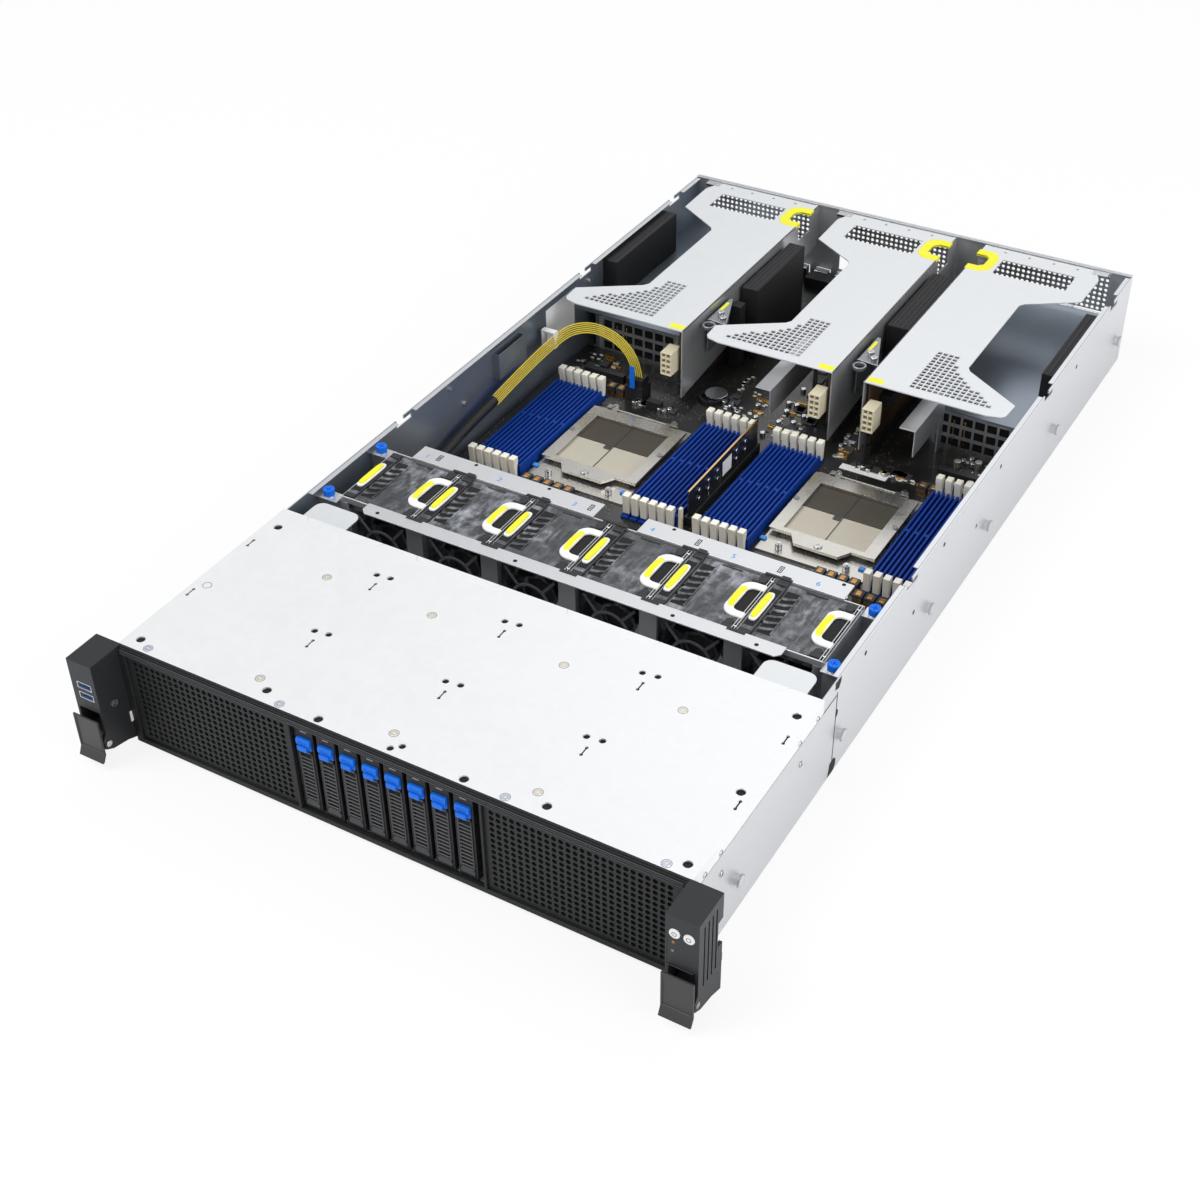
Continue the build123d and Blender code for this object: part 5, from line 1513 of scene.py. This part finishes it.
class SERVER_OT_risers(bpy.types.Operator):
    """Card risers: bent brackets, vents, yellow grips, cards and sockets"""
    bl_idname = "server.risers"
    bl_label = "Risers"

    NOTCH = [(9, -43), (13, -39), (13, -25), (9, -21)]      # from the wall and from the riser's rear
    VENT_COLUMNS = (14, 13, 12, 11, 9, 8, 7, 6, 5, 5, 4, 4, 4)
    VENT_PITCH = 5.0
    VENT_X, VENT_Y = 35, RISER_FRONT + 10

    def execute(self, context):
        for riser in (Riser("riser_left", -86.0, -1), Riser("riser_center", 54.4, -1),
                      Riser("riser_right", 82.0, 1)):
            dress(riser.node, self.rule, riser.node)
            self.top_plate(riser)
            self.side_wall(riser)
            self.plate_marks(riser)
            self.grip(riser)
            self.power_socket(riser)
        self.corner_brackets()
        return {"FINISHED"}

    def rule(self, low, high):
        """Keeps the cards and their sockets; the bent sheet is made anew."""
        size = high - low
        if size.y > 250 or (size.y < 20 and size.z < 25):
            return None, 0
        return ("card brown", 0.1) if size.x < 2 else ("fan black", 0.4)

    def top_plate(self, riser):
        """The top plate with its side notch, its window, the grip's notch and a stair of vents."""
        y0, y1, far, pitch = RISER_FRONT, RISER_BACK, 121.0, self.VENT_PITCH
        edge = [(0, y0), (far - 15, y0 - 1), (far - 4, y0 + 2), (far - 1, y0 + 6), (far, y0 + 24),
                (70, y0 + 57), (67, y0 + 62), (67, y1 - 95), (70, y1 - 90), (far - 9, y1 - 63),
                (far - 8, y1 - 18), (far - 16, y1), (0, y1)]
        sheet = prism(riser.drawn(edge), "Z", RISER_TOP - 1.2, RISER_TOP)
        depth = (RISER_TOP - 3, RISER_TOP + 3)
        stair, vents = [(self.VENT_X, self.VENT_Y)], []
        for k, count in enumerate(self.VENT_COLUMNS):
            far_x, y = self.VENT_X + pitch * count, self.VENT_Y + pitch * k
            stair += [(far_x, y), (far_x, y + pitch)]
        stair.append((self.VENT_X, y + pitch))
        notch = [(-1, -43), *self.NOTCH, (-1, -21)]
        window = plate("Z", riser.out(25, 93), (y1 - 50, y1 - 21), *depth)
        sheet = cut(sheet, prism(riser.drawn(stair), "Z", *depth), window,
                    prism(riser.drawn(notch, y1), "Z", *depth))
        for k, count in enumerate(self.VENT_COLUMNS):
            y = self.VENT_Y + pitch * k
            across = riser.out(self.VENT_X, self.VENT_X + pitch * count)
            vents.append(perforated("Z", across, (y, y + pitch), RISER_TOP - 1.2, RISER_TOP,
                                    (count, 1), (2.75, 2.6), 4, math.pi / 4))
        seat([soften(sheet, 0.3, 2, 50)] + vents, riser.node + "_bracket", "riser steel",
             body=riser.node, stands_for=(riser.node,))

    def side_wall(self, riser):
        """The upright web below the plate's edge, notched for the grip, and the mesh at the rear."""
        y0, y1, sill = RISER_FRONT, RISER_BACK, RISER_TOP - 18
        outline = [(y0, 20), (y1, 46), (y1, RISER_TOP), (y1 - 19, RISER_TOP), (y1 - 19, sill),
                   (y1 - 45, sill), (y1 - 45, RISER_TOP), (y0, RISER_TOP)]
        web = prism(outline, "X", riser.wall, riser.wall + riser.side * 1.2)
        mesh = perforated("Y", riser.out(3, 119), (48, RISER_TOP), y1 - 1.2, y1, (24, 8), (1.6, 1.6))
        # Painted shade: the web and mesh take the darker steel for the shade on their upright faces.
        seat([soften(web, 0.3, 2, 50), mesh], riser.node + "_side_wall", "web steel",
             body=riser.node, stands_for=(riser.node,))

    def plate_marks(self, riser):
        """The window's lip, small dark marks and the bright latch along the plate's rear."""
        back, top = RISER_BACK, RISER_TOP
        lip = block(riser.out(25, 93), (back - 51.2, back - 50), (top - 9, top - 1))
        seat(lip, riser.node + "_window_lip", "dark steel", soft=0.3, body=riser.node)
        marks = [rod("Z", *riser.out(x), back - 7, top, top + 0.1, 1.3, 12) for x in (22, 45, 68, 90)]
        seat(marks, riser.node + "_marks", "dark steel", body=riser.node)
        latch = [block(riser.out(104, 118), (back - 9, back - 1), (top - 2, top + 0.6)),
                 rod("Z", *riser.out(108), back - 5, top, top + 0.9, 2.4, 18)]
        seat(latch, riser.node + "_latch", "nickel", soft=0.3, body=riser.node)

    def grip(self, riser):
        """The yellow grip round the notch, and a bare yellow label at the front."""
        outer = [(-0.5, -52), (12, -52), (18, -49), (21.5, -42), (21.5, -22), (18, -15), (12, -12),
                 (-0.5, -12)]
        inner = [(-2, -43), *self.NOTCH, (-2, -21)]
        grip = prism(riser.drawn(outer, RISER_BACK), "Z", RISER_TOP - 2.2, RISER_TOP + 0.7)
        grip = cut(grip, prism(riser.drawn(inner, RISER_BACK), "Z", RISER_TOP - 5, RISER_TOP + 3))
        seat(grip, riser.node + "_grip", "yellow", soft=0.6, steps=3, body=riser.node)
        along = (RISER_FRONT + 2.5, RISER_FRONT + 9.5)
        label = plate("Z", riser.out(1.5, 15), along, RISER_TOP, RISER_TOP + 0.12)
        seat(label, riser.node + "_label", "yellow", soft=0.05, steps=1, body=riser.node)

    def power_socket(self, riser):
        """The cream socket with its two rows of four square holes."""
        x0, x1 = riser.out(5, 15.5)
        body = block((x0, x1), (545, 562), (46, 68))
        holes = [plate("Y", (x, x + 3.4), (z, z + 3.4), 544, 556)
                 for x in (x0 + 1.3, x0 + 5.8) for z in (47.6, 52.9, 58.2, 63.5)]
        seat(cut(body, *holes), riser.node + "_power_socket", "cream", soft=0.25, steps=1,
             body=riser.node, stands_for=(riser.node,))

    def corner_brackets(self):
        """Grey three-cornered plates between the risers, each with a yellow strip and sprung screws."""
        steel, strips, screws = [], [], []
        for x in (-76, 66):
            corner = [(x - 8, 598), (x + 12, 596), (x + 9, 604), (x - 4, 640), (x - 8, 640)]
            steel += [prism(corner, "Z", 78, 79.2), block((x - 8, x - 6.8), (598, 640), (46, 79.2)),
                      ring("Z", x - 2, 590, 76, 79, 6.0, 4.2, 24)]
            for dx, y in ((0, 609), (6, 601)):
                screws += [rod("Z", x + dx, y, 79, 81.5, 2.4, 18), screw("Z", x + dx, y, 81.3, 83.2, 3.0)]
            strips.append(plate("Z", (x - 6, x - 3), (616, 632), 79.2, 79.6))
        seat(steel, "corner_brackets", "dark steel", soft=0.25, steps=1)
        seat(strips, "corner_strips", "yellow", soft=0.1, steps=1)
        seat(screws, "corner_screws", "nickel")


class SERVER_OT_air_blocks(bpy.types.Operator):
    """Black air blocks with fine ribs along their tops"""
    bl_idname = "server.air_blocks"
    bl_label = "Air blocks"

    def execute(self, context):
        dress("air_blocks", lambda low, high: ("block black", 0.8))
        ribs, pitch = [], 4
        for solid in cad_copy("air_blocks"):
            low, high = span(solid)
            discard(solid)
            for k in range(int((high.x - low.x) / pitch)):
                x = low.x + 2.2 + pitch * k
                rib = block((x, x + 0.7), (low.y + 1.5, high.y - 1.5), (high.z - 0.5, high.z + 0.35))
                ribs.append(rib)
        seat(ribs, "air_block_ribs", "block black", soft=0.2, steps=1)
        return {"FINISHED"}


class SERVER_OT_supplies(bpy.types.Operator):
    """Power supplies: cases, inner grids, fan guards, inlets and release tabs"""
    bl_idname = "server.supplies"
    bl_label = "Power supplies"

    def execute(self, context):
        for name in ("left", "right"):
            node = f"psu_{name}"
            low, high = ends(node)
            dress(node, lambda low, high: ("supply steel", 0.4), node)
            self.front(node, low, high)
            self.fan_guard(node, low.x + 21, low.z + 20)
            self.inlet(node, high.x - 36, high.x - 9, low.z)
            coat(f"psu_latch_{name}", "tab blue", 0.4)
        return {"FINISHED"}

    def front(self, node, low, high):
        """The inner face: a grid of square cells in darker steel over a dark plate, both painted shade, with
        brass contacts behind some.
        """
        x0, x1, z0, z1, y = low.x + 5, high.x - 5, low.z + 4, high.z - 3, low.y
        grid = perforated("Y", (x0, x1), (z0, z1), y - 1.0, y - 0.3, (7, 3), (6.1, 5.5), 4, math.pi / 4)
        # Painted shade: the grid takes the darker steel.
        seat(grid, node + "_grid", "web steel", body=node)
        # Painted shade: the dark plate behind the grid.
        back = plate("Y", (x0 + 0.5, x1 - 0.5), (z0 + 0.5, z1 - 0.5), y - 0.25, y + 0.2)
        seat(back, node + "_grid_back", "dark hole", soft=0.1, steps=1, body=node)
        pins = [block((x0 + dx, x0 + dx + 1.2), (y - 0.6, y - 0.2), (z0 + 4, z1 - 6))
                for dx in (14, 24, 43, 53)]
        seat(pins, node + "_contacts", "gold", soft=0.1, steps=1, body=node)

    def fan_guard(self, node, x, z):
        """Three wire rings and a wire cross over the supply's fan."""
        wires = [ring("Y", x, z, BACK - 2, BACK - 0.8, radius, radius - 1.0, 28)
                 for radius in (16.2, 11.5, 6.8)]
        wires += [plate("Y", (x - u, x + u), (z - v, z + v), BACK - 1.8, BACK - 0.9)
                  for u, v in ((16, 0.5), (0.5, 16))]
        seat(wires, node + "_fan_guard", "nickel", soft=0.2, steps=1, body=node)

    def inlet(self, node, x0, x1, z):
        """The inlet's liner with its three blades."""
        liner = plate("Y", (x0 + 0.1, x1 - 0.1), (z + 11.1, z + 30.9), BACK - 13.5, BACK + 0.6)
        mouth = plate("Y", (x0 + 1.6, x1 - 1.6), (z + 12.6, z + 29.4), BACK - 12, BACK + 2)
        seat(cut(liner, mouth), node + "_inlet", "fan black", soft=0.3, body=node)
        blades = []
        for dx, dz in ((-7, 0), (0, 3), (7, 0)):
            x = (x0 + x1) / 2 + dx
            blades.append(plate("Y", (x - 1, x + 1), (z + 18 + dz, z + 22 + dz), BACK - 13, BACK - 2))
        seat(blades, node + "_blades", "nickel", soft=0.2, steps=1, body=node)


class SERVER_OT_cable(bpy.types.Operator):
    """Power cable: yellow wires in clips, black sleeve, plug and pull tab"""
    bl_idname = "server.cable"
    bl_label = "Cable"

    ROUTE = ((-129, 554, 24), (-129, 554, 44), (-150, 557, 63), (-182, 557, 67), (-203, 536, 60),
             (-205, 440, 45), (-208, 384, 38), (-211, 325, 19), (-211.5, 280, 14), (-207, 195, 12),
             (-165, 160, 12), (-80, 160, 15), (-60, 148, 22))

    def execute(self, context):
        size = context.scene.server_sizes.wire / MM
        upper = [(1.3 * size * (k - 2.5), 0.45 * size) for k in range(6)]
        lower = [(1.3 * size * (k - 2), -0.45 * size) for k in range(5)]
        for name, points, radius, offsets, colour in (
                ("cable_wires", self.ROUTE[:6], 0.4 * size, upper, "wire yellow"),
                ("cable_dark_wires", self.ROUTE[:6], 0.45 * size, lower, "sleeve black"),
                ("cable_sleeve", self.ROUTE[5:], 4.4, [(0, 0)], "sleeve black")):
            seat(bundle(points, name, radius, offsets), name, colour,
                 stands_for=("power_cable",), smooth=50)
        plug = block((-136.5, -121.5), (547, 561), (22, 31))
        seat(plug, "cable_plug", "fan black", soft=0.6)
        tab = block((-131.5, -126.5), (543.6, 544.6), (24, 46))
        seat(tab, "cable_pull_tab", "tab blue", soft=0.4)
        clip = block((-212, -198), (528, 534), (52, 68))
        clip = cut(clip, block((-210.4, -199.6), (527, 535), (53.6, 66.4)))
        seat(clip, "cable_clip", "white", soft=0.4)
        return {"FINISHED"}


STEPS = (SERVER_OT_stage, SERVER_OT_tray, SERVER_OT_cover, SERVER_OT_bezel, SERVER_OT_ears, SERVER_OT_drives,
         SERVER_OT_fan_wall, SERVER_OT_fans, SERVER_OT_board, SERVER_OT_risers, SERVER_OT_air_blocks,
         SERVER_OT_supplies, SERVER_OT_cable)


class SERVER_PT_panel(bpy.types.Panel):
    """Lists the server's pieces and what may be changed"""
    bl_label = "Rack server"
    bl_idname = "SERVER_PT_panel"
    bl_space_type = "VIEW_3D"
    bl_region_type = "UI"
    bl_category = "Server"

    def draw(self, context):
        """One box for each group of properties, then a button for each step."""
        for group in (context.scene.server_sizes, context.scene.server_look):
            box = self.layout.box()
            for name in group.__annotations__:
                box.prop(group, name)
        for step in STEPS:
            self.layout.operator(step.bl_idname)


CLASSES = (ServerSizes, ServerLook, *STEPS, SERVER_PT_panel)


def register():
    for kind in CLASSES:
        bpy.utils.register_class(kind)
    bpy.types.Scene.server_sizes = bpy.props.PointerProperty(type=ServerSizes)
    bpy.types.Scene.server_look = bpy.props.PointerProperty(type=ServerLook)


def unregister():
    del bpy.types.Scene.server_look
    del bpy.types.Scene.server_sizes
    for kind in reversed(CLASSES):
        bpy.utils.unregister_class(kind)


def main():
    """Makes the whole scene."""
    register()
    make_finishes(bpy.context.scene.server_look)
    for step in STEPS:
        group, name = step.bl_idname.split(".")
        getattr(getattr(bpy.ops, group), name)()


if __name__ == "__main__":
    main()
